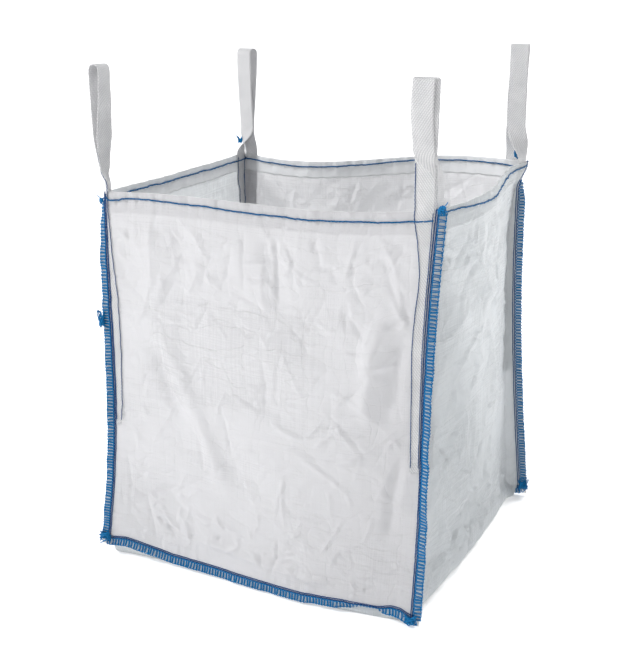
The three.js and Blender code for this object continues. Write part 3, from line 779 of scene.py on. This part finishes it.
# The rim's turn and the hem hanging inside: depth below the rim and distance inwards.
HEM_TURN = [(0.0, 0.0), (-0.0006, 0.0004), (-0.0006, 0.0011), (0.0004, 0.0015)]
HEM_STEPS = np.linspace(0.004, HEM, 10)
HEM_ROW = 0.0045  # spacing of the hem's rows on the flat cut
HEMMED = -1.0  # the cloth attribute's third value on a hem, which the fabric material paints paler as painted light on the rim; elsewhere it gives how much wear the cloth shows


def hem_rows(seed, s):
    """The rows above a wall's last one, as (t, off) for each place s along the rim."""
    rows = []
    for below, inward in HEM_TURN:
        rows.append((np.full(s.shape, PANEL_HEIGHT - below), np.full(s.shape, -inward)))
    for below in HEM_STEPS:
        loose = smooth((below - 0.022) / (HEM - 0.022))
        away = 0.0013 + loose * (0.0016 + 0.0014 * wobble(s, seed, 0.09))
        ragged = 0.0012 * loose * wobble(s, seed + 1, 0.05)
        rows.append((PANEL_HEIGHT - below + ragged, -away))
    return rows


def flat_panel(face):
    """The front or back panel: one sheet with a fin on three sides and a hem turned in at the top."""
    wall = walls[face]
    s = np.concatenate([-FIN_STEPS[::-1], spaced(PANEL_WIDTH, GRID), PANEL_WIDTH + FIN_STEPS])
    t = np.concatenate([-FIN_STEPS[::-1], spaced(PANEL_HEIGHT, GRID)])
    ss, tt = np.meshgrid(s, t)
    rows = [wall.point(ss, tt)]
    cloth = [np.stack([ss, tt, frost_mask(face, ss, tt)], -1)]
    high = PANEL_HEIGHT
    for row_t, off in hem_rows(wall.seed + 40, s):
        rows.append(wall.point(s, row_t, off)[None])
        high += HEM_ROW
        cloth.append(np.stack([s, np.full(s.shape, high), np.full(s.shape, HEMMED)], -1)[None])
    grid = np.concatenate(rows)
    made = sheet_mesh(f"{face}_cloth", grid, FABRIC, np.concatenate(cloth), FABRIC_FLAT)
    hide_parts(f"{face}_panel")
    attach(made, "root")


def frost_mask(face, s, t):
    """Where the cloth has been creased into fine frost."""
    if face != "front":
        return 0.2 * np.ones(np.shape(s))
    middle = smooth((s - 0.10) / 0.10) * smooth((0.66 - s) / 0.14)
    return 0.9 * (middle * smooth((t - 0.42) / 0.08) * smooth((0.74 - t) / 0.03))


# Columns of the U-shaped sheet's mesh: round a bend at the base, down a wall and across the base.
BEND = 9
SIDE_COUNT = int(PANEL_HEIGHT / GRID_U)
BASE_COUNT = 72


def seam_outline():
    """The U-shaped seam line on a front or back panel, as (s, t)."""
    side = np.linspace(PANEL_HEIGHT, SEAM_ROUND, SIDE_COUNT)[:-1]
    bend = np.linspace(0, 1, BEND)
    low = SEAM_ROUND * (1 - bend) ** 2
    near = SEAM_ROUND * bend**2
    base = np.linspace(SEAM_ROUND, PANEL_WIDTH - SEAM_ROUND, BASE_COUNT)[1:-1]
    s = np.concatenate([0 * side, near, base, PANEL_WIDTH - near[::-1], PANEL_WIDTH + 0 * side])
    t = np.concatenate([side, low, 0 * base, low[::-1], side[::-1]])
    return s, t


def u_profile(s):
    """The sheet at depths s: down the left wall, across the base and up the right wall."""
    u = s[:, None] / PANEL_WIDTH
    lift = 1 - smooth(np.minimum(u, 1 - u) / 0.075)
    round_ = SEAM_ROUND + (BASE_ROUND - SEAM_ROUND) * (1 - lift)
    share = np.linspace(0, 1, SIDE_COUNT)[None, :-1]
    t = PANEL_HEIGHT + (round_ - PANEL_HEIGHT) * share
    left, right = walls["left"].point(s[:, None], t), walls["right"].point(s[:, None], t)
    near = round_ / PANEL_WIDTH

    def bend(a, corner, b):
        x = np.linspace(0, 1, BEND)
        return lerp(lerp(a, corner, x), lerp(corner, b, x), x)

    left_foot = walls["left"].point(s[:, None], round_)
    right_foot = walls["right"].point(s[:, None], round_)
    across = near + (1 - 2 * near) * np.linspace(0, 1, BASE_COUNT)[None, 1:-1]
    base = bottom_point(across, u)
    crumple = np.abs(facets(across * PANEL_WIDTH, u * PANEL_WIDTH + 0 * across, 77, 6, 0.004))
    base[..., 2] += 0.5 * crumple * smooth(np.minimum(u, 1 - u) / 0.08)
    left_bend = bend(left_foot, bottom_point(0.0, u), bottom_point(near, u))
    right_bend = bend(bottom_point(1 - near, u), bottom_point(1.0, u), right_foot)
    return np.concatenate([left, left_bend, base, right_bend, right[:, ::-1]], axis=1)


def u_panel():
    """The left wall, the base and the right wall in one sheet, with a flange in each seam."""
    s_out, t_out = seam_outline()
    outward = unit(np.stack([np.gradient(t_out), -np.gradient(s_out), 0 * s_out], -1))

    def flange(face, reach):
        return walls[face].point(s_out + outward[:, 0] * reach, t_out + outward[:, 1] * reach, -SEAM_STEP)

    along = spaced(PANEL_WIDTH, 0.0076)[1:-1]
    length = np.concatenate([[0], np.cumsum(np.hypot(np.diff(s_out), np.diff(t_out)))])
    inner = list(u_profile(along))
    rows = [flange("front", reach) for reach in FIN_STEPS[::-1]] + [flange("front", 0.0)] + inner
    rows += [flange("back", 0.0)] + [flange("back", reach) for reach in FIN_STEPS]
    grid = np.array(rows)
    depth = np.concatenate([-FIN_STEPS[::-1], [0], along, [PANEL_WIDTH], PANEL_WIDTH + FIN_STEPS])
    grid, flat_length = add_side_hems(grid, length, depth)
    cloth = np.zeros(grid.shape)
    cloth[..., 0] = depth[:, None]
    cloth[..., 1] = flat_length[None, :]
    cloth[..., 2] = np.where((flat_length < 0) | (flat_length > length[-1]), HEMMED, 0.35)[None, :]
    grid[..., 2] = np.maximum(grid[..., 2], 0.0006)
    made = sheet_mesh("u_cloth", grid.transpose(1, 0, 2), FABRIC, cloth.transpose(1, 0, 2), FABRIC_U)
    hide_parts("u_panel")
    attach(made, "root")


def wing_width(t):
    rise = 1 - t / PANEL_HEIGHT
    return (0.012 + 0.030 * rise) * smooth(t / 0.05) * (1 - smooth((t - PANEL_HEIGHT + 0.14) / 0.12))


def wing(s, t):
    """Beside the back right seam the wall turns to face forwards for a hand's width before it goes on."""
    back = PANEL_WIDTH - s
    width = wing_width(t)
    inside = np.clip(back / np.maximum(width, 1e-4), 0, 1)
    fade = np.exp(-np.maximum(back - width, 0) / 0.30)
    x = -width * inside * fade
    y = 0.8 * width * inside * (s / PANEL_WIDTH)
    return np.stack([x, y, 0 * x], -1)


def wing_facing(s, t):
    """Which way the right wall faces: forwards on the wing, outwards elsewhere."""
    on = smooth((wing_width(t) - PANEL_WIDTH + s) / 0.010 + 0.5)
    return unit(lerp((1, 0, 0), (0.2, -0.98, 0), on))


def add_side_hems(grid, length, depth):
    """Turns both ends of the U-shaped sheet over into hems inside the side walls."""
    ends = []
    for first, step, name in ((0, 1, "left"), (-1, -1, "right")):
        top, below = grid[:, first], grid[:, first + 6 * step]
        down = unit(below - top)
        rows = []
        for row_t, off in hem_rows(walls[name].seed + 40, np.clip(depth, 0, PANEL_WIDTH)):
            under = PANEL_HEIGHT - row_t
            rows.append(top + down * under[:, None] + walls[name].out * off[:, None])
        ends.append(rows)
    left = np.stack(ends[0][::-1], 1)
    right = np.stack(ends[1], 1)
    extra = HEM_ROW * np.arange(1, left.shape[1] + 1)
    flat = np.concatenate([-extra[::-1], length, length[-1] + extra])
    return np.concatenate([left, grid, right], axis=1), flat


# ---- seams --------------------------------------------------------------------------------------
def seam_place(part, along, reach):
    """(s, t) on a front or back panel, along one of its seams and out on the fin."""
    if part == "left":
        return -reach, along
    if part == "right":
        return PANEL_WIDTH + reach, along
    return along, -reach


SEAM_SPAN = {"left": (-0.012, 0.975), "right": (-0.012, 0.980), "bottom": (-0.010, 0.896)}
EDGE = FIN + 0.0010
NEEDLE = 0.0085  # overlock needle line out from the seam
THREAD_R = 0.00120
HEM_R = 0.0019
CHAIN_R = 0.0013
EDGE_STITCH_R = 0.0010
TAIL_R = 0.0013


def stitch_pitch(face, part, along):
    """Distance between overlock stitches: wider near the top of the front right seam."""
    wide = 0.0055 * smooth((along - 0.74) / 0.12) if (face, part) == ("front", "right") else 0.0
    return 0.0086 + wide


def overlock(face, part):
    """Overlock stitch: rungs that wrap the fin, a needle line, and a purl of loops along the raw edge."""
    wall = walls[face]
    rng = np.random.default_rng(wall.seed + 60 + len(part))
    first, last = SEAM_SPAN[part]
    front, back = FABRIC / 2 + THREAD_R, -SEAM_STEP - FABRIC / 2 - THREAD_R
    middle = (front + back) / 2
    places = [first]
    while places[-1] < last:
        places.append(places[-1] + stitch_pitch(face, part, places[-1]) * rng.uniform(0.88, 1.12))
    paths = []
    for near, far, phase in ((front, back, 0.0), (back, front, 0.5)):
        loop = [
            (0.00, NEEDLE, near),
            (0.06, 0.0155, near),
            (0.12, EDGE - 0.0015, near),
            (0.20, EDGE + 0.0009, middle),
            (0.29, EDGE - 0.0015, near * 0.7 + far * 0.3),
            (0.40, 0.0150, near),
            (0.48, NEEDLE + 0.0004, near),
            (0.60, NEEDLE - 0.0004, near * 0.8),
            (0.85, NEEDLE - 0.0004, near * 0.8),
        ]
        looper = []
        for start, end in zip(places[:-1], places[1:]):
            lean, more = rng.uniform(-0.0018, 0.0018), rng.uniform(-0.0012, 0.0018)
            for share, reach, off in loop:
                outer = (reach - NEEDLE) / (EDGE - NEEDLE)
                along = start + (share + phase) * (end - start) + lean * outer
                looper.append((along, reach + more * outer, off))
        paths.append((looper, 0.0018))
    purl, line = [], []
    for start, end in zip(places[:-1], places[1:]):
        bulge = 0.0012 * rng.uniform(0.8, 1.3)
        for share in np.arange(8) / 8:
            angle = 2 * math.pi * share
            along = start + (end - start) * (share + 0.10 * math.sin(angle))
            off = middle + (front + 0.0006) * math.cos(angle)
            purl.append((along, EDGE + 0.0004 + bulge * math.sin(angle), off))
        for share, high in ((0.0, 0.15), (0.2, 0.95), (0.5, 1.1), (0.8, 0.95)):
            line.append((start + share * (end - start), NEEDLE - 0.0008, front * high))
    paths += [(purl, 0.0014), (line, 0.0024)]
    tubes = []
    for path, step in paths:
        along, reach, off = np.array(path).T
        s, t = seam_place(part, along, reach)
        tubes.append(resample(wall.point(s, t, off), step))
    made = thread_object(f"overlock_thread_{face}_{part}", tubes, THREAD_R, OVERLOCK)
    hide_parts(f"overlock_{face}_{part}")
    return made, "overlock_thread"


def stitch_line(place, first, last, pitch, radius, seed, lift=1.0):
    """A line of stitches: the thread lies on the cloth and dips into it between stitches."""
    rng = np.random.default_rng(seed)
    stops = [first]
    while stops[-1] < last:
        stops.append(stops[-1] + pitch * rng.uniform(0.92, 1.08))
    along, high, stray = [], [], []
    for start, end in zip(stops[:-1], stops[1:]):
        drift = rng.uniform(-0.0003, 0.0003)
        for share, rise in ((0.0, -0.9), (0.13, 0.7), (0.5, 1.05), (0.87, 0.7)):
            along.append(start + share * (end - start))
            high.append(rise * radius * lift)
            stray.append(drift)
    return resample(place(np.array(along), np.array(stray), np.array(high)), 0.0022)


def chain_stitch(face, part):
    """Two navy chain lines at the root of the fin, on both sides of it."""
    wall = walls[face]
    first, last = SEAM_SPAN[part]
    paths = []
    for row, (reach, side) in enumerate(((0.0004, 1), (0.0048, 1), (0.0004, -1), (0.0048, -1))):
        base = FABRIC / 2 if side > 0 else -SEAM_STEP - FABRIC / 2

        def place(along, stray, high, reach=reach, side=side, base=base):
            s, t = seam_place(part, along, reach + stray)
            return wall.point(s, t, base + side * high)

        paths.append(stitch_line(place, first - 0.006, last + 0.006, 0.0078, CHAIN_R, wall.seed + 70 + row))
    made = thread_object(f"chain_thread_{face}_{part}", paths, CHAIN_R, CHAIN)
    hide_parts(f"chain_stitch_{face}_{part}")
    return made, "chain_thread"


def hem_line(name):
    """The hem stitch along one wall's rim, raised where it crosses the webbing."""
    wall = walls[name]
    flat = name in ("front", "back")

    def lay(s):
        edge = np.minimum(s, PANEL_WIDTH - s)
        return WEB_THICK * (1 - smooth((edge - 0.058) / 0.006)) if flat else 0.0 * s

    def height(along, stray):
        drift = 0.0010 * wobble(along, wall.seed + 80, 0.18)
        return PANEL_HEIGHT - through(HEM_LINE[name], along) + stray + drift

    def outside(along, stray, high):
        return wall.point(along, height(along, stray), FABRIC / 2 + high + lay(along))

    def inside(along, stray, high):
        return wall.point(along, height(along, stray), -FABRIC - 0.0014 - high)

    paths = []
    for place in (outside, inside):
        paths.append(stitch_line(place, 0.004, PANEL_WIDTH - 0.004, 0.0085, HEM_R, wall.seed + 81))
    made = thread_object(f"hem_thread_{name}", paths, HEM_R, HEM_THREAD)
    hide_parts(f"hem_stitch_{name}")
    return made, "overlock_thread"


# ---- webbing ------------------------------------------------------------------------------------
ACROSS = np.linspace(-1, 1, 11)
WEB_ROW = 0.0052  # spacing of a strip's rows
# For each strip: turn of the loop about the vertical, its middle in from the corner, radius of its top bend,
# its top, how far above the corner its two legs part, the legs' lower end and their distance from the corner.
LOOPS = {
    "fl": dict(
        turn=[(1.14, 78), (1.29, 91)], inset=0.004, bend=0.0145, top=1.331, part=0.058, end=0.387, near=0.002,
    ),
    "fr": dict(turn=[(1, 0)], inset=0.030, bend=0.0050, top=1.332, part=0.150, end=0.400, near=0.002),
    "br": dict(turn=[(1, 0)], inset=0.013, bend=0.0085, top=1.378, part=0.110, end=0.420, near=0.009),
    "bl": dict(turn=[(1, -15)], inset=0.004, bend=0.0170, top=1.340, part=0.080, end=0.420, near=0.002),
}
# Sideways lean of each loop's two legs at heights, and the width of leg A that shows beside the seam.
LEANS = {
    "fl": ([(1.02, 0), (1.066, -0.005), (1.12, -0.008), (1.24, -0.010), (1.33, -0.013)],) * 2,
    "fr": (
        [(1.15, 0), (1.24, 0.001)],
        [(1.15, -0.001), (1.19, -0.006), (1.24, -0.011), (1.28, -0.011), (1.33, -0.008)],
    ),
    "br": ([(1.10, 0), (1.22, -0.004), (1.36, 0)], [(1.1, 0.001), (1.36, 0.001)]),
    "bl": ([(1.0, 0.004), (1.06, 0.006)],) * 2,
}
LEG_WIDTH = {
    "fl": [
        (0.387, 0.015), (0.44, 0.022), (0.575, 0.027), (0.744, 0.026), (0.80, 0.019), (0.86, 0.013),
        (0.97, 0.006),
    ],
    "fr": [
        (0.40, 0.0215), (0.5, 0.024), (0.6, 0.025), (0.70, 0.029), (0.78, 0.027), (0.85, 0.022),
        (0.89, 0.0235), (0.918, 0.0275), (0.965, 0.036), (1.02, 0.050),
    ],
    "br": [(0.42, 0.036), (1.03, 0.052)],
    "bl": [(0.42, 0.036), (1.03, 0.052)],
}
CLOSE = WEB_THICK / 2 + 0.0004  # half the distance between two legs that touch


def turned(row, row_to):
    """Rows between two straight ones: the middle moves over and the strip turns about the vertical."""
    a, b = row.mean(0), row_to.mean(0)
    half_a, half_b = (row[-1] - row[0]) / 2, (row_to[-1] - row_to[0]) / 2
    angle_a, angle_b = math.atan2(half_a[1], half_a[0]), math.atan2(half_b[1], half_b[0])
    turn = (angle_b - angle_a + math.pi) % (2 * math.pi) - math.pi
    rows = []
    for share in np.linspace(0, 1, 8)[1:-1]:
        eased = smooth(share)
        angle = angle_a + turn * eased
        wide = np.linalg.norm(half_a) * (1 - share) + np.linalg.norm(half_b) * share
        middle = a + (b - a) * eased
        middle[2] = a[2] + (b[2] - a[2]) * share
        half = wide * np.array([math.cos(angle), math.sin(angle), 0.0])
        rows.append(middle + ACROSS[:, None] * half)
    return rows


def wall_height(key, z):
    return (z - BOTTOM[key][2]) / (TOP[key][2] - BOTTOM[key][2]) * PANEL_HEIGHT


def leg_on_panel(key):
    """Leg A, up the outer face of the front or back panel: its last point is the inner edge."""
    loop, corner = LOOPS[key], TOP[key]
    wall = walls[FACE[key]]
    rows = []
    for z in np.linspace(loop["end"], corner[2] + 0.008, 34):
        wide = through(LEG_WIDTH[key], z)
        inward = loop["near"] + wide * (ACROSS + 1) / 2
        s = inward if SIDE[key] < 0 else PANEL_WIDTH - inward
        rows.append(wall.point(s, np.full(s.shape, wall_height(key, z)), WEB_LIE))
    return rows


NARROW = 0.012  # the front left leg B's folded width at the rim


def leg_in_wall(key, corner_first):
    """Leg B, down the inner face of the side wall, from the rim. corner_first says which edge is which."""
    corner = TOP[key]
    wall = walls["left" if SIDE[key] < 0 else "right"]
    rows = []
    for z in np.linspace(corner[2] + 0.006, LOOPS[key]["end"], 34):
        wide = WEB
        if key == "fl":
            wide = NARROW + (WEB - NARROW) * smooth((corner[2] - 0.03 - z) / 0.12)
        reach = 0.007 + wide * (ACROSS + 1) / 2
        reach = reach if corner_first else reach[::-1]
        s = reach if FACE[key] == "front" else PANEL_WIDTH - reach
        t = np.full(s.shape, wall_height(key, z))
        rows.append(wall.point(s, t, -WEB_LIE - 0.002 * smooth((z - corner[2] + HEM + 0.02) / 0.02)))
    return rows


def loop_rows(key, forward, swapped):
    """The free loop, from leg A's side over the top bend to leg B's side."""
    loop, corner = LOOPS[key], np.array(TOP[key])
    middle = corner - np.array([SIDE[key] * loop["inset"], 0, 0])
    low, high = corner[2] + loop["part"], loop["top"] - loop["bend"]

    def apart(z):
        share = np.clip((z - low) / (high - low), 0, 1)
        return CLOSE + (loop["bend"] - WEB_THICK / 2 - CLOSE) * smooth(share**0.8)

    def row(off, z, leg):
        turn = math.radians(through(loop["turn"], z))
        along = np.array([math.cos(turn), math.sin(turn), 0.0])
        out = np.array([math.sin(turn), -math.cos(turn), 0.0]) * (1 if FACE[key] == "front" else -1)
        out = -out if swapped else out
        at = middle + out * off
        lean = [through(knots, z) for knots in LEANS[key]]
        at = np.array([at[0] + lean[0] * (1 - leg) + lean[1] * leg, at[1], z])
        cup = 0.0012 * (ACROSS**2 - 0.4) * math.sin((z - corner[2]) * 17)
        half = WEB / 2 * (through([(1.06, 0.55), (1.15, 1.0)], z) if key == "fl" else 1.0)
        return at + ACROSS[:, None] * along * half * forward + out * cup[:, None]

    heights = np.linspace(low, high, 13)
    up = [row(apart(z), z, 0) for z in heights]
    radius = loop["bend"] - WEB_THICK / 2
    arc = np.linspace(0, math.pi, 9)[1:-1]
    over = [row(radius * math.cos(a), high + radius * math.sin(a), a / math.pi) for a in arc]
    down = [row(-apart(z), z, 1) for z in heights[::-1]]
    return up + over + down


def wrapped_leg(key, last_row):
    """The front right leg B: in front of leg A it slides over the corner's edge and turns into the bag."""
    corner = np.array(TOP[key])
    edge_x = corner[0] - 0.0015
    front_y = last_row[:, 1].mean()
    start, end = last_row[0, 2] - corner[2], 0.022
    rows = []
    for share in np.linspace(0, 1, 16)[1:]:
        z = corner[2] + start + (end - start) * share
        folded = -0.006 + (WEB + 0.010) * smooth((corner[2] + 0.137 - z) / 0.079)
        from_left = WEB * (1 - ACROSS) / 2
        past = from_left - (WEB - folded)
        soft = 0.0022
        side_ways = -soft * np.log1p(np.exp(np.clip(-past / soft, -40, 40)))
        back_ways = soft * np.log1p(np.exp(np.clip(past / soft, -40, 40)))
        shift = smooth((share - 0.6) / 0.4)
        x = edge_x + side_ways - 0.0016 * shift
        y = front_y + back_ways + 0.006 * shift
        rows.append(np.stack([x, y, np.full(x.shape, z)], 1))
    return rows


def webbing_strip(key):
    """One strip of webbing: leg A, the lifting loop and leg B, and the thread along its sewn edges."""
    leg_a = leg_on_panel(key)
    loop = loop_rows(key, forward=1 if key == "bl" else -1, swapped=key == "fr")
    leg_b = leg_in_wall(key, corner_first=FACE[key] == "back")
    over = wrapped_leg(key, loop[-1]) if key == "fr" else turned(loop[-1], leg_b[0])
    grid = resample(np.array(leg_a + turned(leg_a[-1], loop[0]) + loop + over + leg_b), WEB_ROW)
    length = WEB_ROW * np.arange(len(grid))
    ripple = 0.0004 * wobble(length, 500 + SIDE[key], 0.07)[:, None] * np.ones(len(ACROSS))[None]
    normal = unit(np.cross(np.gradient(grid, axis=1), np.gradient(grid, axis=0)))
    grid = grid + normal * ripple[..., None]
    cloth = np.zeros(grid.shape)
    cloth[..., 0] = WEB / 2 - np.linalg.norm(grid - grid[:, -1:], axis=-1)
    cloth[..., 1] = length[:, None]
    strip = sheet_mesh(f"webbing_strip_{CORNERS[key]}", grid, WEB_THICK, cloth, WEBBING)
    nodes = [f"{part}_{CORNERS[key]}" for part in ("webbing_outer_leg", "webbing_inner_leg", "lifting_loop")]
    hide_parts(*nodes)
    across_fold(strip)
    stitches = webbing_stitches(key, grid, normal)
    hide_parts(f"webbing_edge_stitch_{CORNERS[key]}")
    across_fold(stitches)


def across_fold(piece):
    """Bakes the piece's placement into its mesh."""
    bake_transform(piece)


def webbing_stitches(key, grid, normal):
    """Running stitches near the strip's edges where it is sewn, and a little way up the loop."""
    heights = grid[:, len(ACROSS) // 2, 2]
    top = int(np.argmax(heights))
    out_y = WALLS[FACE[key]]["out"][1]
    leg_a, leg_b = np.arange(2, top), np.arange(top, len(grid) - 2)
    paths = []
    lines = ((0.90, 0.115, leg_a), (-0.86, 0.0, leg_a), (0.86, 0.0, leg_b), (-0.86, 0.0, leg_b))
    for column, rise, rows in lines:
        kept = rows[heights[rows] < TOP[key][2] + rise]
        line = np.array([[np.interp(column, ACROSS, grid[i, :, k]) for k in range(3)] for i in kept])
        away = normal[kept, 5]
        middle = away[len(away) // 2]
        facing = np.sign(middle[1] * out_y) if rows is leg_a else -np.sign(middle[0] * SIDE[key])
        lengths = np.concatenate([[0], np.cumsum(np.linalg.norm(np.diff(line, axis=0), axis=1))])

        def place(along, stray, high, line=line, away=away, facing=facing, lengths=lengths):
            at = np.stack([np.interp(along, lengths, line[:, k]) for k in range(3)], 1)
            up = np.stack([np.interp(along, lengths, away[:, k]) for k in range(3)], 1)
            return at + up * (facing * (WEB_THICK / 2 + high))[:, None]

        end, seed = lengths[-1] - 0.01, 600 + len(paths)
        paths.append(stitch_line(place, 0.002, end, 0.0088, EDGE_STITCH_R, seed, lift=1.3))
    return thread_object(f"webbing_stitches_{CORNERS[key]}", paths, EDGE_STITCH_R, CHAIN)


# ---- thread ends --------------------------------------------------------------------------------
def tangle(centre, size, turns, seed, tail):
    """A knot of loose overlock chain with a short tail."""
    rng = np.random.default_rng(seed)
    points = []
    for k in range(turns * 5):
        angle = 2 * math.pi * k / 5 + rng.uniform(-0.4, 0.4)
        tilt = rng.uniform(-1, 1)
        around = np.array([math.cos(angle), 0.75 * math.sin(angle), tilt]) * rng.uniform(0.2, 1.1)
        points.append(np.array(centre) + 1.25 * around * np.array(size))
    end = points[-1]
    for k in range(1, 6):
        end = end + np.array(tail) / 5 + rng.uniform(-0.0012, 0.0012, 3)
        points.append(end)
    return resample(np.array(points), 0.0016)


# Knots at the seams' ends: middle, half sizes and how many strands.
KNOTS = {
    ("top", "fl"): ((-0.447, -0.440, 0.985), (0.005, 0.005, 0.008), 1),
    ("top", "fr"): ((0.470, -0.451, 1.036), (0.008, 0.006, 0.010), 2),
    ("top", "br"): ((0.413, 0.436, 1.066), (0.009, 0.006, 0.012), 2),
    ("top", "bl"): ((-0.494, 0.440, 1.052), (0.006, 0.005, 0.009), 2),
    ("bottom", "fl"): ((-0.459, -0.455, 0.056), (0.013, 0.009, 0.014), 3),
    ("bottom", "fr"): ((0.446, -0.492, 0.016), (0.014, 0.010, 0.013), 3),
    ("bottom", "br"): ((0.484, 0.452, 0.040), (0.013, 0.009, 0.018), 3),
    ("bottom", "bl"): ((-0.476, 0.447, 0.038), (0.010, 0.008, 0.012), 3),
}


def thread_ends(key, where):
    centre, size, strands = KNOTS[where, key]
    tail = (SIDE[key] * 0.012, -0.004, 0.014 if where == "top" else -0.006)
    seed = 700 + 10 * list(TOP).index(key) + (where == "top")
    paths = [tangle(centre, size, 6, seed + 100 * k, tail) for k in range(strands)]
    if (where, key) == ("bottom", "fl"):
        middle, half = (-0.452, -0.452, 0.672), (0.007, 0.006, 0.020)
        paths += [tangle(middle, half, 6, seed + 50 + k, (-0.005, 0.0, -0.012)) for k in range(2)]
    made = thread_object(f"thread_ends_{where}_{CORNERS[key]}", paths, TAIL_R, OVERLOCK)
    low = min(v.co.z for v in made.data.vertices)
    made.data.transform(Matrix.Translation((0, 0, max(0.0, 0.001 - low))))
    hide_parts(f"seam_tail_{where}_{CORNERS[key]}")
    return made, "overlock_thread"


# ---- studio -------------------------------------------------------------------------------------
def make_camera():
    """The photographer's place: in front and to the right, a little above the rim."""
    place = Vector((1.327, -3.157, 1.506))
    yaw, pitch, roll = math.radians(-23.08), math.radians(15.08), math.radians(0.89)
    ahead = Vector((math.sin(yaw) * math.cos(pitch), math.cos(yaw) * math.cos(pitch), -math.sin(pitch)))
    level = Vector((math.cos(yaw), -math.sin(yaw), 0))
    over = level.cross(ahead)
    right = level * math.cos(roll) + over * math.sin(roll)
    up = over * math.cos(roll) - level * math.sin(roll)
    data = bpy.data.cameras.new("camera")
    data.sensor_width = 36
    data.sensor_fit = "HORIZONTAL"
    data.lens = 70.39
    camera = bpy.data.objects.new("camera", data)
    camera.matrix_world = Matrix.Translation(place) @ Matrix((right, up, -ahead)).transposed().to_4x4()
    bpy.context.scene.collection.objects.link(camera)
    bpy.context.scene.camera = camera


def make_floor():
    """A level floor whose far edge rises a little, like a studio sweep."""
    count = 96
    angle = np.arange(count) * 2 * math.pi / count
    x, y = np.cos(angle), np.sin(angle)
    rings = [np.stack([r * x, r * y, np.full(count, z)], 1) for r, z in ((18, 0.0), (36, 0.4), (60, 3.2))]
    place = np.arange(count)
    after = np.roll(place, -1)
    faces = [place.tolist()]
    for low in (0, count):
        high = low + count
        faces += np.stack([low + place, high + place, high + after, low + after], 1).tolist()
    mesh = bpy.data.meshes.new("studio_floor")
    mesh.from_pydata(np.concatenate(rings).tolist(), [], faces)
    mesh.materials.append(floor_material())
    floor = bpy.data.objects.new("studio_floor", mesh)
    bpy.context.scene.collection.objects.link(floor)


def far_light(name, direction, strength, softness):
    """A distant light, coming from a direction."""
    data = bpy.data.lights.new(name, "SUN")
    data.energy = strength
    data.angle = math.radians(softness)
    light = bpy.data.objects.new(name, data)
    light.rotation_euler = Vector(direction).to_track_quat("Z", "Y").to_euler()
    bpy.context.scene.collection.objects.link(light)


def make_lights():
    world = bpy.data.worlds.new("studio")
    world.use_nodes = True
    sky = world.node_tree.nodes["Background"]
    sky.inputs["Color"].default_value = (0.97, 0.985, 1.0, 1.0)
    sky.inputs["Strength"].default_value = 0.30
    bpy.context.scene.world = world
    far_light("key", (-0.98, -0.62, 0.95), 2.5, 14)
    far_light("fill", (0.36, -0.95, 0.60), 0.35, 12)
    far_light("back", (0.28, 0.85, 0.95), 2.2, 24)


make_camera()
make_floor()
make_lights()
flat_panel("front")
flat_panel("back")
u_panel()
trim = [overlock(face, part) for face in ("front", "back") for part in SEAM_SPAN]
trim += [chain_stitch(face, part) for face in ("front", "back") for part in SEAM_SPAN]
trim += [hem_line(name) for name in WALLS]
trim += [thread_ends(key, where) for key in TOP for where in ("top", "bottom")]
for piece, slot in trim:
    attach(piece, "root")
for corner_key in TOP:
    webbing_strip(corner_key)
bpy.context.scene.view_settings.view_transform = "Standard"
